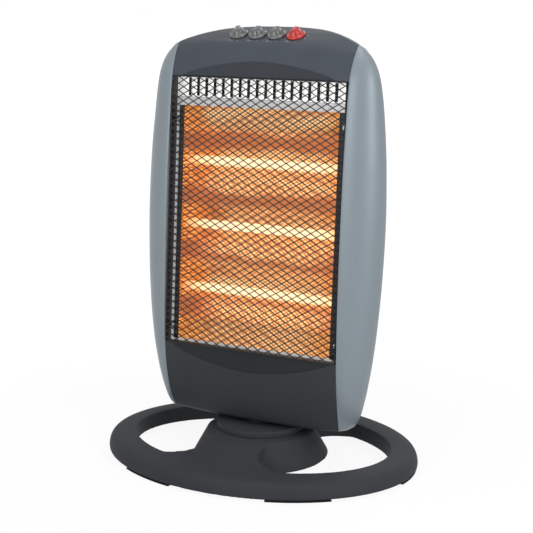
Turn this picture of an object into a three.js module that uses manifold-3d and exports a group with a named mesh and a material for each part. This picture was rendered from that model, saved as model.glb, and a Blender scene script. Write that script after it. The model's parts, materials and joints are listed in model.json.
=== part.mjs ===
// Halogen heater: a leaning head with three quartz tubes behind a mesh guard,
// turning on an oval base with two open D-shaped windows. Millimetres, +Z up,
// front towards -Y, origin at the middle of the base on the floor.
import * as THREE from 'three';
import { mergeVertices, mergeGeometries } from 'three/addons/utils/BufferGeometryUtils.js';
import Module from 'manifold-3d';

const wasm = await Module();
wasm.setup();

// ---------------------------------------------------------------- dimensions

const GAP = 0.3;                  // clearance between neighbouring pieces
const SKIN = 2.5;                 // wall of the plastic casings
const SHEET = 1.0;                // thickness of the formed metal sheets
const FAR = 700;                  // reach of a cutting block
const ROUND = 16;                 // sides of a small round piece

// base
const BASE_HALF_WIDTH = 175;
const BASE_HALF_DEPTH = 136;
const RIM_HEIGHT = 20;
const RIM_SIDE_WIDTH = 29;        // ring width at the left and right
const RIM_FRONT_WIDTH = 35;       // ring width at the front and back
const WAIST_HALF_WIDTH = 33;      // the bridges that tie the ring to the hub, where narrowest
const WAIST_Y = 57;
const NECK_Y = 49;                // the window's edge bends from the waist round the hub here
const NECK_ANGLE = THREE.MathUtils.degToRad(47);
const WINDOW_CORNER = 35;         // from the waist to where the edge joins the oval
const WINDOW_CORNER_Y = 82;
const HUB_TOP_RADIUS = 48;
const HUB_SHOULDER = 10;          // ring round the hub's top, inside the windows
const HUB_SHOULDER_RADIUS = HUB_TOP_RADIUS + HUB_SHOULDER;
const HUB_SHOULDER_HEIGHT = 30.5;
const HUB_FOOT_RADIUS = 74;
const HUB_HEIGHT = 33;
const BASE_WALL = 3;
const PLATE = 1.6;
const FOOT_HEIGHT = 2;
const FOOT_WIDTH = 9;
const FOOT_ARC = 24;              // degrees of the rim that a foot covers
const FOOT_COUNT = 6;
const FOOT_STEPS = 6;
const FOOT_START = -114;          // degrees, the first foot's middle
const FOOT_INSET = 1;             // from the rim's outer edge
const BASE_SCREW_COUNT = 3;
const BASE_SCREW_RADIUS = 1.4;
const BASE_BOSS_RADIUS = 4.5;
const BASE_SCREW_REACH = 8;       // shank above the plate

// tip-over switch in the base
const TIP_Y = -44;
const TIP_ROD_RADIUS = 3;
const TIP_PAD_RADIUS = 5;
const TIP_ROOF = 3;               // the switch body above its plunger's bore
const TIP_SPARE = 1;
const TIP_BODY = [22, 14, 17];

// swivel and its drive
const POST_RADIUS = 14;
const POST_BORE = 10;
const POST_TOP = 53;
const POST_FLANGE_RADIUS = 26;
const POST_FLANGE = 3;
const POST_FOOT = 10;             // how far the post reaches below the hub's skin
const SEAT_RADIUS = 27;           // turned seat inside the lower housing
const SEAT_TOP = 48;
const COLLAR_RADIUS = 47.5;
const COLLAR_TOP = 40;
const CRANK_OFFSET = 24;          // crank axis behind the swivel axis
const CRANK_THROW = 13.8;
const CRANK_RADIUS = 18;
const CRANK_THICKNESS = 3;
const CRANK_PIN_RADIUS = 2.4;
const CRANK_SHAFT_RADIUS = 3;
const PIN_PLAY = 1;               // room beside the pin in its slot
const YOKE_THICKNESS = 3;
const YOKE_END_WALL = 4;
const YOKE_BOTTOM = SEAT_TOP + GAP;   // the arm also keeps the head down on its post
const MOTOR_RADIUS = 25;
const MOTOR_HEIGHT = 18;
const MOTOR_EAR_X = 33;
const MOTOR_EAR_RADIUS = 4.5;
const MOTOR_EAR_THICKNESS = 2;
const MOTOR_SHAFT = 6;            // how far the crank's shaft enters the motor
const MOTOR_CLEARANCE = 1;        // above and below the crank disc

// head: all heights run along the leaning axis, from the floor
const LEAN = THREE.MathUtils.degToRad(4.43);
const FRONT_HALF_WIDTH = 102.6;   // front face between the side panels, at mid height
const OPENING_BOTTOM = 118;
const OPENING_TOP = 405;
const FACET_Y = -38.3;            // flat bands above and below the opening
const SEAM_REAR_Y = 36;           // top and bottom housings end here
const RETURN_DEPTH = 14;          // side panel's edge turned in beside the guard
const REAR_SLOPE = 0.538;         // how the rear cover draws in behind the panels
const REAR_FLAT = 0.82;           // flat share of the rear cover's half-width
const REAR_DRAW = 0.2;            // how much of that share is lost up to the deck

// stations up the head: height, half-width of the front face against its middle one,
// front face, crown of the front face, side bulge, depth of the bulge, rear face
const STATIONS = [
  [36.5, -72.6, 2, 2, 3, 3, 30],
  [38.5, -40.6, -6, 5, 4, 6, 36],
  [41.5, -16.6, -12, 8, 5, 8, 39],
  [44.6, -3.1, -17, 9, 6, 11, 42],
  [48, -2.3, -19.5, 8.6, 10.5, 17, 45],
  [55, -1.6, -23, 8, 14, 22, 49],
  [70, -0.8, -28.5, 6, 18, 26.5, 54],
  [90, -0.2, -33.8, 3.5, 22, 30, 58],
  [118, 0, -38, 2.7, 27, 31.5, 60],
  [160, 0, -40.8, 3, 32, 32, 61.5],
  [210, 0, -42.2, 3, 35.3, 32, 62],
  [262, 0, -42.6, 3, 36.5, 31.3, 62],
  [315, 0.1, -42, 3, 35, 29.5, 62],
  [365, 0.2, -40, 4, 31.2, 26, 61],
  [405, 0.4, -37.2, 4.8, 26, 20.5, 58],
  [420, 0.8, -33.2, 5.5, 21, 15.5, 55.5],
  [430, 1.3, -29, 7.5, 14.5, 11, 53],
  [438, 1.8, -24, 9.5, 6.5, 6, 50],
  [442, -2.6, -20.8, 10, 3.4, 4, 48],
  [446, -11.6, -16.5, 9.5, 3.2, 4, 45.5],
  [450, -22.6, -11.5, 8.5, 2.9, 4, 42],
  [454, -37.6, -5.5, 7, 2.8, 4, 38],
  [457, -54.6, 0.5, 5, 2.3, 3, 33],
  [459, -80.6, 7, 2, 2.3, 3, 26],
];
const LOW_STATIONS = 4;           // stations of the dished bottom
const HIGH_STATIONS = 6;          // stations of the arched top
const FRONT_STEPS = 3;
const SIDE_STEPS = 5;
const REAR_STEPS = 3;

// control deck and the scoop below it
const DECK_FRONT = [-28.1, 441.3];
const DECK_TILT = THREE.MathUtils.degToRad(28.5);
const SCOOP_LEAN = THREE.MathUtils.degToRad(28.8);

// knobs and their switches
const KNOB_COUNT = 4;
const KNOB_PITCH = 22.3;
const KNOB_ROW_X = -3;
const KNOB_UP_DECK = 16;          // knob axis from the deck's front edge
const KNOB_RADIUS = 10;
const KNOB_SKIRT = 3.5;
const KNOB_GRIP = [5, 17, 9];
const KNOB_SHAFT_RADIUS = 2.8;
const KNOB_SHAFT_LENGTH = 9;
const SWITCH_BODY = [18, 18, 15];

// heating unit
const GUARD_SIDE_GAP = 0.6;       // between the guard and the side panels
const GUARD_HALF_WIDTH = FRONT_HALF_WIDTH - GUARD_SIDE_GAP;
const TUBE_COUNT = 3;
const TUBE_PITCH = 69;
const TUBE_MIDDLE = 246.5;
const TUBE_Y = -8;
const TUBE_RADIUS = 5;
const TUBE_WALL = 1;
const FILAMENT_RADIUS = 1.9;
const FILAMENT_TAIL = 3;          // past the tube's end
const TRAY_FRONT = -27.5;
const TRAY_LIP_BOTTOM = 121.5;
const TRAY_LIP_TOP = 374;
const TRAY_FLANGE = 5;
const TRAY_SPARE = 1;             // room between the flange and the guard's bent edge
const TRAY_HALF_WIDTH = GUARD_HALF_WIDTH - TRAY_SPARE - TRAY_FLANGE;
const TROUGH_FRONT = -16;
const TROUGH_DEPTH = 26;
const TROUGH_STEPS = 8;
const TROUGH_SHEET = 1.3;         // measured along Y, for the troughs' sloping walls
const TRAY_LAP = 1;               // side plates past the troughs, above and below
const CAP_RADIUS = 8;
const CAP_LENGTH = 14;
const CAP_SOCKET = 4;
const TUBE_HALF_LENGTH = TRAY_HALF_WIDTH + SHEET + CAP_SOCKET;
const FILAMENT_HALF_LENGTH = TUBE_HALF_LENGTH + FILAMENT_TAIL;

// slotted plate above the reflector
const VENT_BOTTOM = 382.9;
const VENT_TOP = 404.4;
const SLOT_COUNT = 18;
const SLOT_PITCH = 10.1;
const SLOT_WIDTH = 3.6;
const SLOT_MARGIN = 1.2;

// bars in front of the tube ends
const BAR_INSET = 2;              // from the tray's side to the bar's middle
const BAR_X = TRAY_HALF_WIDTH - BAR_INSET;
const BAR_WIDTH = 5;
const BAR_THICKNESS = 2;
const BAR_SCREW_INSET = 15;
const BAR_EAR_RADIUS = 4;
const BAR_EAR_INSET = 1.2;
const BAR_SCREW_RADIUS = 1.2;
const BAR_SCREW_BITE = 3;

// heat shield
const SHIELD_FRONT = 8;
const SHIELD_REAR = 30;

// guard
const GUARD_PROUD = 1.2;
const GUARD_WIRE = 1.2;
const GUARD_STRAND = 3;
const GUARD_CELL = [50, 29.2];
const GUARD_FRAME = 2.5;

// rear cover: louvres, screws and the cord's gland
const LOUVRE_COUNT = 8;
const LOUVRE_PITCH = 9;
const LOUVRE_HEIGHT = 3.6;
const LOUVRE_HALF_LENGTH = 60;
const LOUVRE_TOP_Z = 392;
const LOUVRE_LOW_Z = 168;
const REAR_SCREW_X = 58;
const REAR_SCREW_RADIUS = 1.5;
const REAR_BOSS_RADIUS = 4.5;
const BOSS_ROOT = 14;             // length of a post that lies on its shelf
const BOSS_SHORT = 8;             // from a post's end to the cover's inner face
const PILOT_DEPTH = 14;
const GLAND_Z = 78;
const GLAND_X = 40;
const GLAND_RADIUS = 7;
const GLAND_BORE = 3.6;
const GLAND_RIM = 3;
const GLAND_REACH = 14;
const GLAND_TIP = 1.6;            // wall at the gland's outer end
const REAR_SCREW_BITE = 10;

// electrical fittings
const TERMINAL_BODY = [36, 14, 15];
const TERMINAL_X = -58;
const TERMINAL_Y = 2;
const TERMINAL_PAD = [28, 12];
const WELL_COUNT = 3;
const WELL_PITCH = 11;
const WELL_RADIUS = 2.6;
const WELL_DEPTH = 6;
const TERMINAL_PAD_TOP = 58;
const CUTOUT_RADIUS = 8;
const CUTOUT_HEIGHT = 8;
const CUTOUT_Z = 330;

// ------------------------------------------------------------------- colours

const finish = (color, roughness, metalness = 0) =>
  new THREE.MeshStandardMaterial({ color, roughness, metalness });
const slate = finish(0x454c55, 0.45);
const charcoal = finish(0x3a3e41, 0.5);
const silverPaint = finish(0x8a959d, 0.4, 0.3);
const rubber = finish(0x1c1d1e, 0.9);
const mirror = finish(0xe6ded4, 0.15, 1);
const zinc = finish(0xb8bcc0, 0.35, 1);
const blackWire = finish(0x16161a, 0.5, 0.4);
const quartz = finish(0xfff0d8, 0.1);
const glow = finish(0xffa030, 0.4);
const ceramic = finish(0xe8e2d4, 0.7);
const knobGrey = finish(0x6a6862, 0.5);
const knobRed = finish(0xe02c20, 0.4);
const nylon = finish(0xd8d4c8, 0.6);
const darkFitting = finish(0x26282b, 0.6);

// ------------------------------------------------------------------- helpers

/** A closed geometry as a solid that can be joined and cut. */
function solid(geometry) {
  const bare = geometry.clone();
  bare.deleteAttribute('normal');
  bare.deleteAttribute('uv');
  const merged = mergeVertices(bare, 1e-4);
  return new wasm.Manifold(new wasm.Mesh({
    numProp: 3,
    vertProperties: new Float32Array(merged.attributes.position.array),
    triVerts: new Uint32Array(merged.index.array),
  }));
}

/** A solid's faces as a geometry. */
function surface(body) {
  const mesh = body.getMesh();
  const geometry = new THREE.BufferGeometry();
  geometry.setAttribute('position', new THREE.BufferAttribute(new Float32Array(mesh.vertProperties), 3));
  geometry.setIndex(new THREE.BufferAttribute(new Uint32Array(mesh.triVerts), 1));
  geometry.computeVertexNormals();
  return geometry;
}

/** A box between two corners. */
function block([x0, y0, z0], [x1, y1, z1]) {
  const box = new THREE.BoxGeometry(x1 - x0, y1 - y0, z1 - z0);
  return box.translate((x0 + x1) / 2, (y0 + y1) / 2, (z0 + z1) / 2);
}

/** A solid of revolution about Z; the profile of [radius, z] starts and ends on the axis or closes. */
function turned(profile, sides = ROUND) {
  const points = profile.map(([r, z]) => new THREE.Vector2(r, z));
  return new THREE.LatheGeometry(points, sides).rotateX(Math.PI / 2);
}

const rod = (radius, z0, z1, sides = ROUND) => turned([[0, z0], [radius, z0], [radius, z1], [0, z1]], sides);

const pipe = (outer, inner, z0, z1, sides = ROUND) =>
  turned([[inner, z0], [outer, z0], [outer, z1], [inner, z1], [inner, z0]], sides);

/** An outline without the points that lie on a straight stretch. */
function corners(outline) {
  return outline.filter(([x, y], i) => {
    const [px, py] = outline.at(i - 1);
    const [nx, ny] = outline[(i + 1) % outline.length];
    const turn = (x - px) * (ny - y) - (y - py) * (nx - x);
    return Math.abs(turn) > 1e-6 * Math.hypot(nx - px, ny - py);
  });
}

/** An outline of [x, y] pairs pulled up from z0 to z1. */
function raised(outline, z0, z1) {
  const shape = new THREE.Shape(corners(outline).map(([x, y]) => new THREE.Vector2(x, y)));
  return new THREE.ExtrudeGeometry(shape, { depth: z1 - z0, bevelEnabled: false }).translate(0, 0, z0);
}

/** An outline of [y, z] pairs pulled across from x0 to x1. */
function acrossX(outline, x0, x1) {
  const place = new THREE.Matrix4().makeBasis(
    new THREE.Vector3(0, 1, 0), new THREE.Vector3(0, 0, 1), new THREE.Vector3(1, 0, 0));
  return raised(outline, 0, x1 - x0).applyMatrix4(place).translate(x0, 0, 0);
}

/** An outline of [x, z] pairs pulled back from y0 to y1. */
const acrossY = (outline, y0, y1) => raised(outline, 0, y1 - y0).rotateX(Math.PI / 2).translate(0, y1, 0);

const alongX = (geometry) => geometry.rotateY(Math.PI / 2);
const alongY = (geometry) => geometry.rotateX(-Math.PI / 2);

/** From the leaning head's own frame to the standing frame, and back. */
const leaned = (geometry) => geometry.rotateX(-LEAN);
const unleaned = (geometry) => geometry.rotateX(LEAN);

const joined = (first, ...rest) => rest.reduce((sum, next) => sum.add(next), first);
const cut = (first, ...rest) => rest.reduce((sum, next) => sum.subtract(next), first);

/** Adds one named piece, from a geometry or a solid, to a group. */
function piece(group, name, shape, material) {
  const geometry = shape.isBufferGeometry ? shape : surface(shape);
  const mesh = new THREE.Mesh(geometry, material);
  mesh.name = name;
  group.add(mesh);
  return mesh;
}

const screwHead = (radius) => radius * 2.1;

/** A pan-head screw along Z: the head stands on z = 0 and the shank points down. */
function screw(radius, length) {
  const head = screwHead(radius);
  const rise = radius * 1.1;
  return turned([[0, -length], [radius, -length], [radius, 0], [head, 0], [head, rise * 0.5],
    [head * 0.7, rise], [0, rise]], 8);
}

// ---------------------------------------------------------------------- base

const HUB_TAPER = (HUB_FOOT_RADIUS - HUB_SHOULDER_RADIUS) / (HUB_SHOULDER_HEIGHT - FOOT_HEIGHT);
const BASE_SIDES = 40;

/** The underside of the base's form; the hollow inside the walls opens through it. */
const skirtBottom = (wall) => FOOT_HEIGHT - (wall > 0 ? 1 : 0);

/** The oval base without its windows: rings that blend from the round hub to the oval rim. */
function ovalDish(wall) {
  const rise = HUB_HEIGHT - RIM_HEIGHT;
  const profile = [[0, HUB_HEIGHT], [0.12, RIM_HEIGHT + rise * 0.82], [0.3, RIM_HEIGHT + rise * 0.45],
    [0.5, RIM_HEIGHT + rise * 0.14], [0.68, RIM_HEIGHT], [0.84, RIM_HEIGHT], [0.92, RIM_HEIGHT * 0.95],
    [0.965, RIM_HEIGHT * 0.84], [0.99, RIM_HEIGHT * 0.62], [1, RIM_HEIGHT * 0.35], [1, FOOT_HEIGHT]];
  const skirt = skirtBottom(wall);
  const positions = [0, 0, HUB_HEIGHT - wall];
  for (const [share, height] of profile) {
    for (let i = 0; i < BASE_SIDES; i += 1) {
      const angle = (i / BASE_SIDES) * Math.PI * 2;
      const inner = HUB_TOP_RADIUS - wall;
      const x = inner + share * (BASE_HALF_WIDTH - wall - inner);
      const y = inner + share * (BASE_HALF_DEPTH - wall - inner);
      const z = height === FOOT_HEIGHT ? skirt : Math.max(height - wall, FOOT_HEIGHT);
      positions.push(x * Math.cos(angle), y * Math.sin(angle), z);
    }
  }
  positions.push(0, 0, positions.at(-1));
  return ringed(positions, profile.length, BASE_SIDES);
}

/** Closes rings of points, listed from a first pole to a last one, into a surface. */
function ringed(positions, rings, sides, upwards = false) {
  const index = [];
  const at = (ring, i) => 1 + ring * sides + (i % sides);
  const last = positions.length / 3 - 1;
  for (let i = 0; i < sides; i += 1) {
    index.push(0, at(0, i), at(0, i + 1));
    for (let ring = 0; ring < rings - 1; ring += 1) {
      index.push(at(ring, i), at(ring + 1, i), at(ring + 1, i + 1));
      index.push(at(ring, i), at(ring + 1, i + 1), at(ring, i + 1));
    }
    index.push(last, at(rings - 1, i + 1), at(rings - 1, i));
  }
  if (upwards) {
    for (let i = 0; i < index.length; i += 3) [index[i], index[i + 1]] = [index[i + 1], index[i]];
  }
  const geometry = new THREE.BufferGeometry();
  geometry.setAttribute('position', new THREE.Float32BufferAttribute(positions, 3));
  geometry.setIndex(index);
  return geometry;
}

/** Plan outline of the right-hand window, grown by a margin; side -1 gives the left one. */
function windowOutline(side, margin) {
  const halfWidth = BASE_HALF_WIDTH - RIM_SIDE_WIDTH + margin;
  const halfDepth = BASE_HALF_DEPTH - RIM_FRONT_WIDTH + margin;
  const waist = WAIST_HALF_WIDTH - margin;
  const shoulder = HUB_SHOULDER_RADIUS - margin;
  const corner = WAIST_HALF_WIDTH + WINDOW_CORNER;
  const start = Math.acos(corner / halfWidth);
  const bendY = WINDOW_CORNER_Y + margin;
  const shape = new THREE.Shape();
  shape.absellipse(0, 0, halfWidth, halfDepth, -start, start, false, 0);
  shape.quadraticCurveTo(waist, bendY, waist, WAIST_Y);
  shape.quadraticCurveTo(waist, NECK_Y, shoulder * Math.cos(NECK_ANGLE), shoulder * Math.sin(NECK_ANGLE));
  shape.absarc(0, 0, shoulder, NECK_ANGLE, -NECK_ANGLE, true);
  shape.quadraticCurveTo(waist, -NECK_Y, waist, -WAIST_Y);
  shape.quadraticCurveTo(waist, -bendY, corner, -halfDepth * Math.sin(start));
  const points = shape.getPoints(6).map((p) => [p.x * side, p.y]);
  points.pop();
  return side > 0 ? points : points.reverse();
}

/** The hub's flank below its shoulder, drawn in by a wall measured square to its slope. */
function hubCone(wall) {
  const level = wall * Math.hypot(1, HUB_TAPER);
  return turned([[0, skirtBottom(wall)], [HUB_FOOT_RADIUS - level, skirtBottom(wall)],
    [HUB_SHOULDER_RADIUS - level + HUB_TAPER * wall, HUB_SHOULDER_HEIGHT - wall],
    [0, HUB_SHOULDER_HEIGHT - wall]], 32);
}

/** The base's outer form (wall 0) or the hollow inside its walls. */
function baseForm(wall) {
  const windows = [1, -1].map((side) => solid(raised(windowOutline(side, wall), -FAR, FAR)));
  return joined(cut(solid(ovalDish(wall)), ...windows), solid(hubCone(wall)));
}

const BASE_SCREWS = Array.from({ length: BASE_SCREW_COUNT }, (_, i) => {
  const angle = Math.PI / 2 + (i / BASE_SCREW_COUNT) * Math.PI * 2;
  return [(BASE_HALF_WIDTH - RIM_SIDE_WIDTH / 2) * Math.cos(angle),
    (BASE_HALF_DEPTH - RIM_FRONT_WIDTH / 2) * Math.sin(angle)];
});
const PLATE_TOP = FOOT_HEIGHT + PLATE;

function buildBase() {
  const base = new THREE.Group();
  const outer = baseForm(0);
  const hollow = baseForm(BASE_WALL);

  const bosses = BASE_SCREWS.map(([x, y]) =>
    solid(rod(BASE_BOSS_RADIUS, PLATE_TOP + GAP, HUB_HEIGHT, 12).translate(x, y, 0)).intersect(outer));
  const pilots = BASE_SCREWS.map(([x, y]) =>
    solid(rod(BASE_SCREW_RADIUS + GAP, 0, PLATE_TOP + BASE_SCREW_REACH + 1, 12).translate(x, y, 0)));
  const postHole = solid(rod(POST_RADIUS + GAP, 0, FAR));
  piece(base, 'base_shell', cut(joined(cut(outer, hollow), ...bosses), ...pilots, postHole), charcoal);

  // the plate lies inside the shell's skirt
  const slab = solid(block([-FAR, -FAR, FOOT_HEIGHT], [FAR, FAR, PLATE_TOP]));
  const tipHole = solid(rod(TIP_ROD_RADIUS + 2 * GAP, -1, PLATE_TOP + 1).translate(0, TIP_Y, 0));
  piece(base, 'base_bottom_plate', cut(baseForm(BASE_WALL + GAP).intersect(slab), ...pilots, tipHole), zinc);

  for (let i = 0; i < FOOT_COUNT; i += 1) {
    piece(base, `foot_pad_${i + 1}`, footPad(FOOT_START + (i * 360) / FOOT_COUNT), rubber);
  }

  BASE_SCREWS.forEach(([x, y], i) => {
    const mesh = piece(base, `base_screw_${i + 1}`, screw(BASE_SCREW_RADIUS, PLATE + BASE_SCREW_REACH), zinc);
    mesh.rotation.x = Math.PI;
    mesh.position.set(x, y, FOOT_HEIGHT - GAP);
  });

  const flangeTop = HUB_HEIGHT - BASE_WALL - GAP;
  const foot = flangeTop - POST_FOOT;
  piece(base, 'swivel_post', turned([[POST_BORE, foot], [POST_RADIUS, foot],
    [POST_RADIUS, flangeTop - POST_FLANGE], [POST_FLANGE_RADIUS, flangeTop - POST_FLANGE],
    [POST_FLANGE_RADIUS, flangeTop], [POST_RADIUS, flangeTop], [POST_RADIUS, POST_TOP],
    [POST_BORE, POST_TOP], [POST_BORE, foot]], 24), darkFitting);
  piece(base, 'oscillation_yoke', yoke(), zinc);

  // switch body on the plate; its plunger feels the floor
  const [width, depth, height] = TIP_BODY;
  const bottom = PLATE_TOP + GAP;
  const bore = solid(rod(TIP_ROD_RADIUS + GAP, 0, bottom + height - TIP_ROOF).translate(0, TIP_Y, 0));
  const shell = solid(block([-width / 2, TIP_Y - depth / 2, bottom],
    [width / 2, TIP_Y + depth / 2, bottom + height]));
  piece(base, 'tip_switch_housing', cut(shell, bore), darkFitting);
  const rodTop = bottom + height - TIP_ROOF - GAP - TIP_SPARE;
  const plunger = piece(base, 'tip_plunger', turned([[0, 0], [TIP_PAD_RADIUS, 0],
    [TIP_PAD_RADIUS, FOOT_HEIGHT - GAP], [TIP_ROD_RADIUS, FOOT_HEIGHT - GAP], [TIP_ROD_RADIUS, rodTop],
    [0, rodTop]]), knobRed);
  plunger.position.set(0, TIP_Y, 0);
  return base;
}

/** A pad along the rim's underside, centred on one angle of the oval. */
function footPad(middle) {
  const edge = [];
  const inset = (reach) => (degrees) => {
    const angle = THREE.MathUtils.degToRad(degrees);
    return [(BASE_HALF_WIDTH - reach) * Math.cos(angle), (BASE_HALF_DEPTH - reach) * Math.sin(angle)];
  };
  for (let i = 0; i <= FOOT_STEPS; i += 1) {
    edge.push(inset(FOOT_INSET)(middle + FOOT_ARC * (i / FOOT_STEPS - 0.5)));
  }
  for (let i = FOOT_STEPS; i >= 0; i -= 1) {
    edge.push(inset(FOOT_INSET + FOOT_WIDTH)(middle + FOOT_ARC * (i / FOOT_STEPS - 0.5)));
  }
  return raised(edge, 0, FOOT_HEIGHT - GAP);
}

/** The slotted arm on the post that the crank pin works against. */
function yoke() {
  const slotHalf = CRANK_PIN_RADIUS + PIN_PLAY;
  const near = Math.hypot(CRANK_OFFSET, CRANK_THROW) - CRANK_PIN_RADIUS - PIN_PLAY;
  const far = CRANK_OFFSET + CRANK_THROW + CRANK_PIN_RADIUS + PIN_PLAY;
  const top = YOKE_BOTTOM + YOKE_THICKNESS;
  const half = slotHalf + YOKE_END_WALL;
  const ring = solid(rod(POST_RADIUS + YOKE_END_WALL, YOKE_BOTTOM, top, 32));
  const arm = solid(block([-half, 0, YOKE_BOTTOM], [half, far + YOKE_END_WALL, top]));
  const slot = solid(block([-slotHalf, near, 0], [slotHalf, far, FAR]));
  return cut(joined(ring, arm), slot, solid(rod(POST_RADIUS + GAP, 0, FAR, 32)));
}

// ---------------------------------------------------------------------- head

/** Half of a level outline at one station, from the front's middle round to the rear's middle. */
function halfOutline([height, widening, frontY, crown, bulge, bulgeDepth, rearY], wall) {
  const spare = Math.max(0, wall - bulge + 0.4);
  const w = FRONT_HALF_WIDTH + widening - spare;
  const front = frontY + wall;
  const a = Math.max(bulge - wall, 0.4);
  const b = Math.max(bulgeDepth - wall, 0.4);
  const rear = rearY - wall;
  const points = [];
  for (let i = 0; i < FRONT_STEPS; i += 1) {
    const x = (w * i) / FRONT_STEPS;
    points.push([x, front - crown * (1 - (x / w) ** 2)]);
  }
  for (let i = 0; i <= SIDE_STEPS; i += 1) {
    const angle = (i / SIDE_STEPS) * (Math.PI / 2);
    points.push([w + a * Math.sin(angle), front + b * (1 - Math.cos(angle))]);
  }
  const widest = w + a;
  const from = front + b;
  const rise = THREE.MathUtils.smoothstep(height, OPENING_TOP, DECK_FRONT[1]);
  const flat = (REAR_FLAT - REAR_DRAW * rise) * w;
  const turn = Math.max(flat, widest - REAR_SLOPE * (rear - from));
  for (let i = 1; i <= REAR_STEPS; i += 1) {
    const t = i / REAR_STEPS;
    const [p, q, r] = [(1 - t) ** 2, 2 * t * (1 - t), t * t];
    points.push([p * widest + q * turn + r * flat, p * from + q * rear + r * rear]);
  }
  points.push([0, rear]);
  return points;
}

/** The head's whole form, drawn in by a wall (or grown by a clearance), before the deck is cut. */
function headLoft(wall) {
  const lift = (i) => {
    if (i < LOW_STATIONS) return wall;
    return i >= STATIONS.length - HIGH_STATIONS ? -wall : 0;
  };
  const rings = STATIONS.map((station, i) => {
    const half = halfOutline(station, wall);
    const mirrored = half.slice(1, -1).reverse().map(([x, y]) => [-x, y]);
    return [...half, ...mirrored].map(([x, y]) => [x, y, station[0] + lift(i)]);
  });
  const middleOf = (ring) => [0, (ring[0][1] + Math.max(...ring.map((p) => p[1]))) / 2, ring[0][2]];
  const positions = [middleOf(rings[0]), ...rings.flat(), middleOf(rings.at(-1))].flat();
  return ringed(positions, rings.length, rings[0].length, true);
}

/** A half-space cutter whose face passes through a point of the side view, facing the angle given. */
function shave([y, z], angle, wall) {
  const slab = block([-FAR, -FAR, 0], [FAR, FAR, FAR]).rotateX(angle);
  const normal = [-Math.sin(angle), Math.cos(angle)];
  return slab.translate(0, y - normal[0] * wall, z - normal[1] * wall);
}

/** The head's outer form, or the same form a wall further in. */
function headForm(wall) {
  const deck = solid(shave(DECK_FRONT, DECK_TILT, wall));
  const scoop = solid(shave(DECK_FRONT, Math.PI / 2 - SCOOP_LEAN, wall));
  const half = frontHalfWidth(OPENING_TOP);
  const facet = solid(block([-half, -FAR, -FAR], [half, FACET_Y + wall, FAR]));
  return cut(solid(headLoft(wall)), deck, scoop, facet);
}

/** Half-width of the front face where the side panels meet it. */
function frontHalfWidth(height) {
  const inner = STATIONS.slice(LOW_STATIONS - 1, STATIONS.length - HIGH_STATIONS);
  const next = inner.findIndex(([z]) => z >= height);
  if (next < 0) return FRONT_HALF_WIDTH + inner.at(-1)[1];
  if (next === 0) return FRONT_HALF_WIDTH + inner[0][1];
  const [[z0, w0], [z1, w1]] = [inner[next - 1], inner[next]];
  return FRONT_HALF_WIDTH + w0 + ((w1 - w0) * (height - z0)) / (z1 - z0);
}

/** A block over the full depth between the two front seams, moved out by a margin. */
function middleBlock(margin) {
  const inner = STATIONS.slice(LOW_STATIONS - 1, STATIONS.length - HIGH_STATIONS);
  const right = inner.map(([z, widening]) => [FRONT_HALF_WIDTH + widening + margin, z]);
  const first = [right[0][0], -FAR];
  const last = [right.at(-1)[0], FAR];
  const edge = [first, ...right, last];
  return solid(acrossY([...edge, ...edge.map(([x, z]) => [-x, z]).reverse()], -FAR, FAR));
}

/** Everything behind the line where the side panels are widest, moved back by a margin. */
function behindPanels(margin) {
  const line = STATIONS.map(([z, , front, , , depth]) => [front + depth + margin, z]);
  const bottom = [line[0][0], -FAR];
  const top = [line.at(-1)[0], FAR];
  return solid(acrossX([bottom, ...line, top, [FAR, FAR], [FAR, -FAR]].reverse(), -FAR, FAR));
}

/** A block that follows the front face down to a given depth behind it. */
function frontLayer(depth) {
  const line = STATIONS.map(([z, , front]) => [front + depth, z]);
  const bottom = [line[0][0], -FAR];
  const top = [line.at(-1)[0], FAR];
  return solid(acrossX([bottom, ...line, top, [-FAR, FAR], [-FAR, -FAR]], -FAR, FAR));
}

const below = (z) => solid(block([-FAR, -FAR, -FAR], [FAR, FAR, z]));
const above = (z) => solid(block([-FAR, -FAR, z], [FAR, FAR, FAR]));
const before = (y) => solid(block([-FAR, -FAR, -FAR], [FAR, y, FAR]));
const sideOf = (side) => solid(block([0, -FAR, -FAR], [FAR, FAR, FAR]).translate(side > 0 ? 0 : -FAR, 0, 0));

const BOSS_LOW_Z = OPENING_BOTTOM - SKIN - REAR_BOSS_RADIUS + 0.5;
const BOSS_HIGH_Z = OPENING_TOP + SKIN + REAR_BOSS_RADIUS - 0.5;
const REAR_FACE = Math.max(...STATIONS.map((station) => station.at(-1)));
const REAR_SCREWS = [[-1, BOSS_LOW_Z], [1, BOSS_LOW_Z], [1, BOSS_HIGH_Z], [-1, BOSS_HIGH_Z]]
  .map(([side, z]) => [side * REAR_SCREW_X, z]);
const BOSS_END = REAR_FACE - SKIN - BOSS_SHORT;

/** Screw posts that stand back from a housing's shelf, and the holes down their middles. */
function rearBosses(z) {
  const places = REAR_SCREWS.filter(([, height]) => height === z);
  const at = (geometry, x) => solid(alongY(geometry).translate(x, 0, z));
  return {
    posts: places.map(([x]) => at(rod(REAR_BOSS_RADIUS, SEAM_REAR_Y - BOSS_ROOT, BOSS_END, 10), x)),
    holes: places.map(([x]) => at(rod(REAR_SCREW_RADIUS + GAP, BOSS_END - PILOT_DEPTH, BOSS_END + 1, 8), x)),
  };
}

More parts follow.
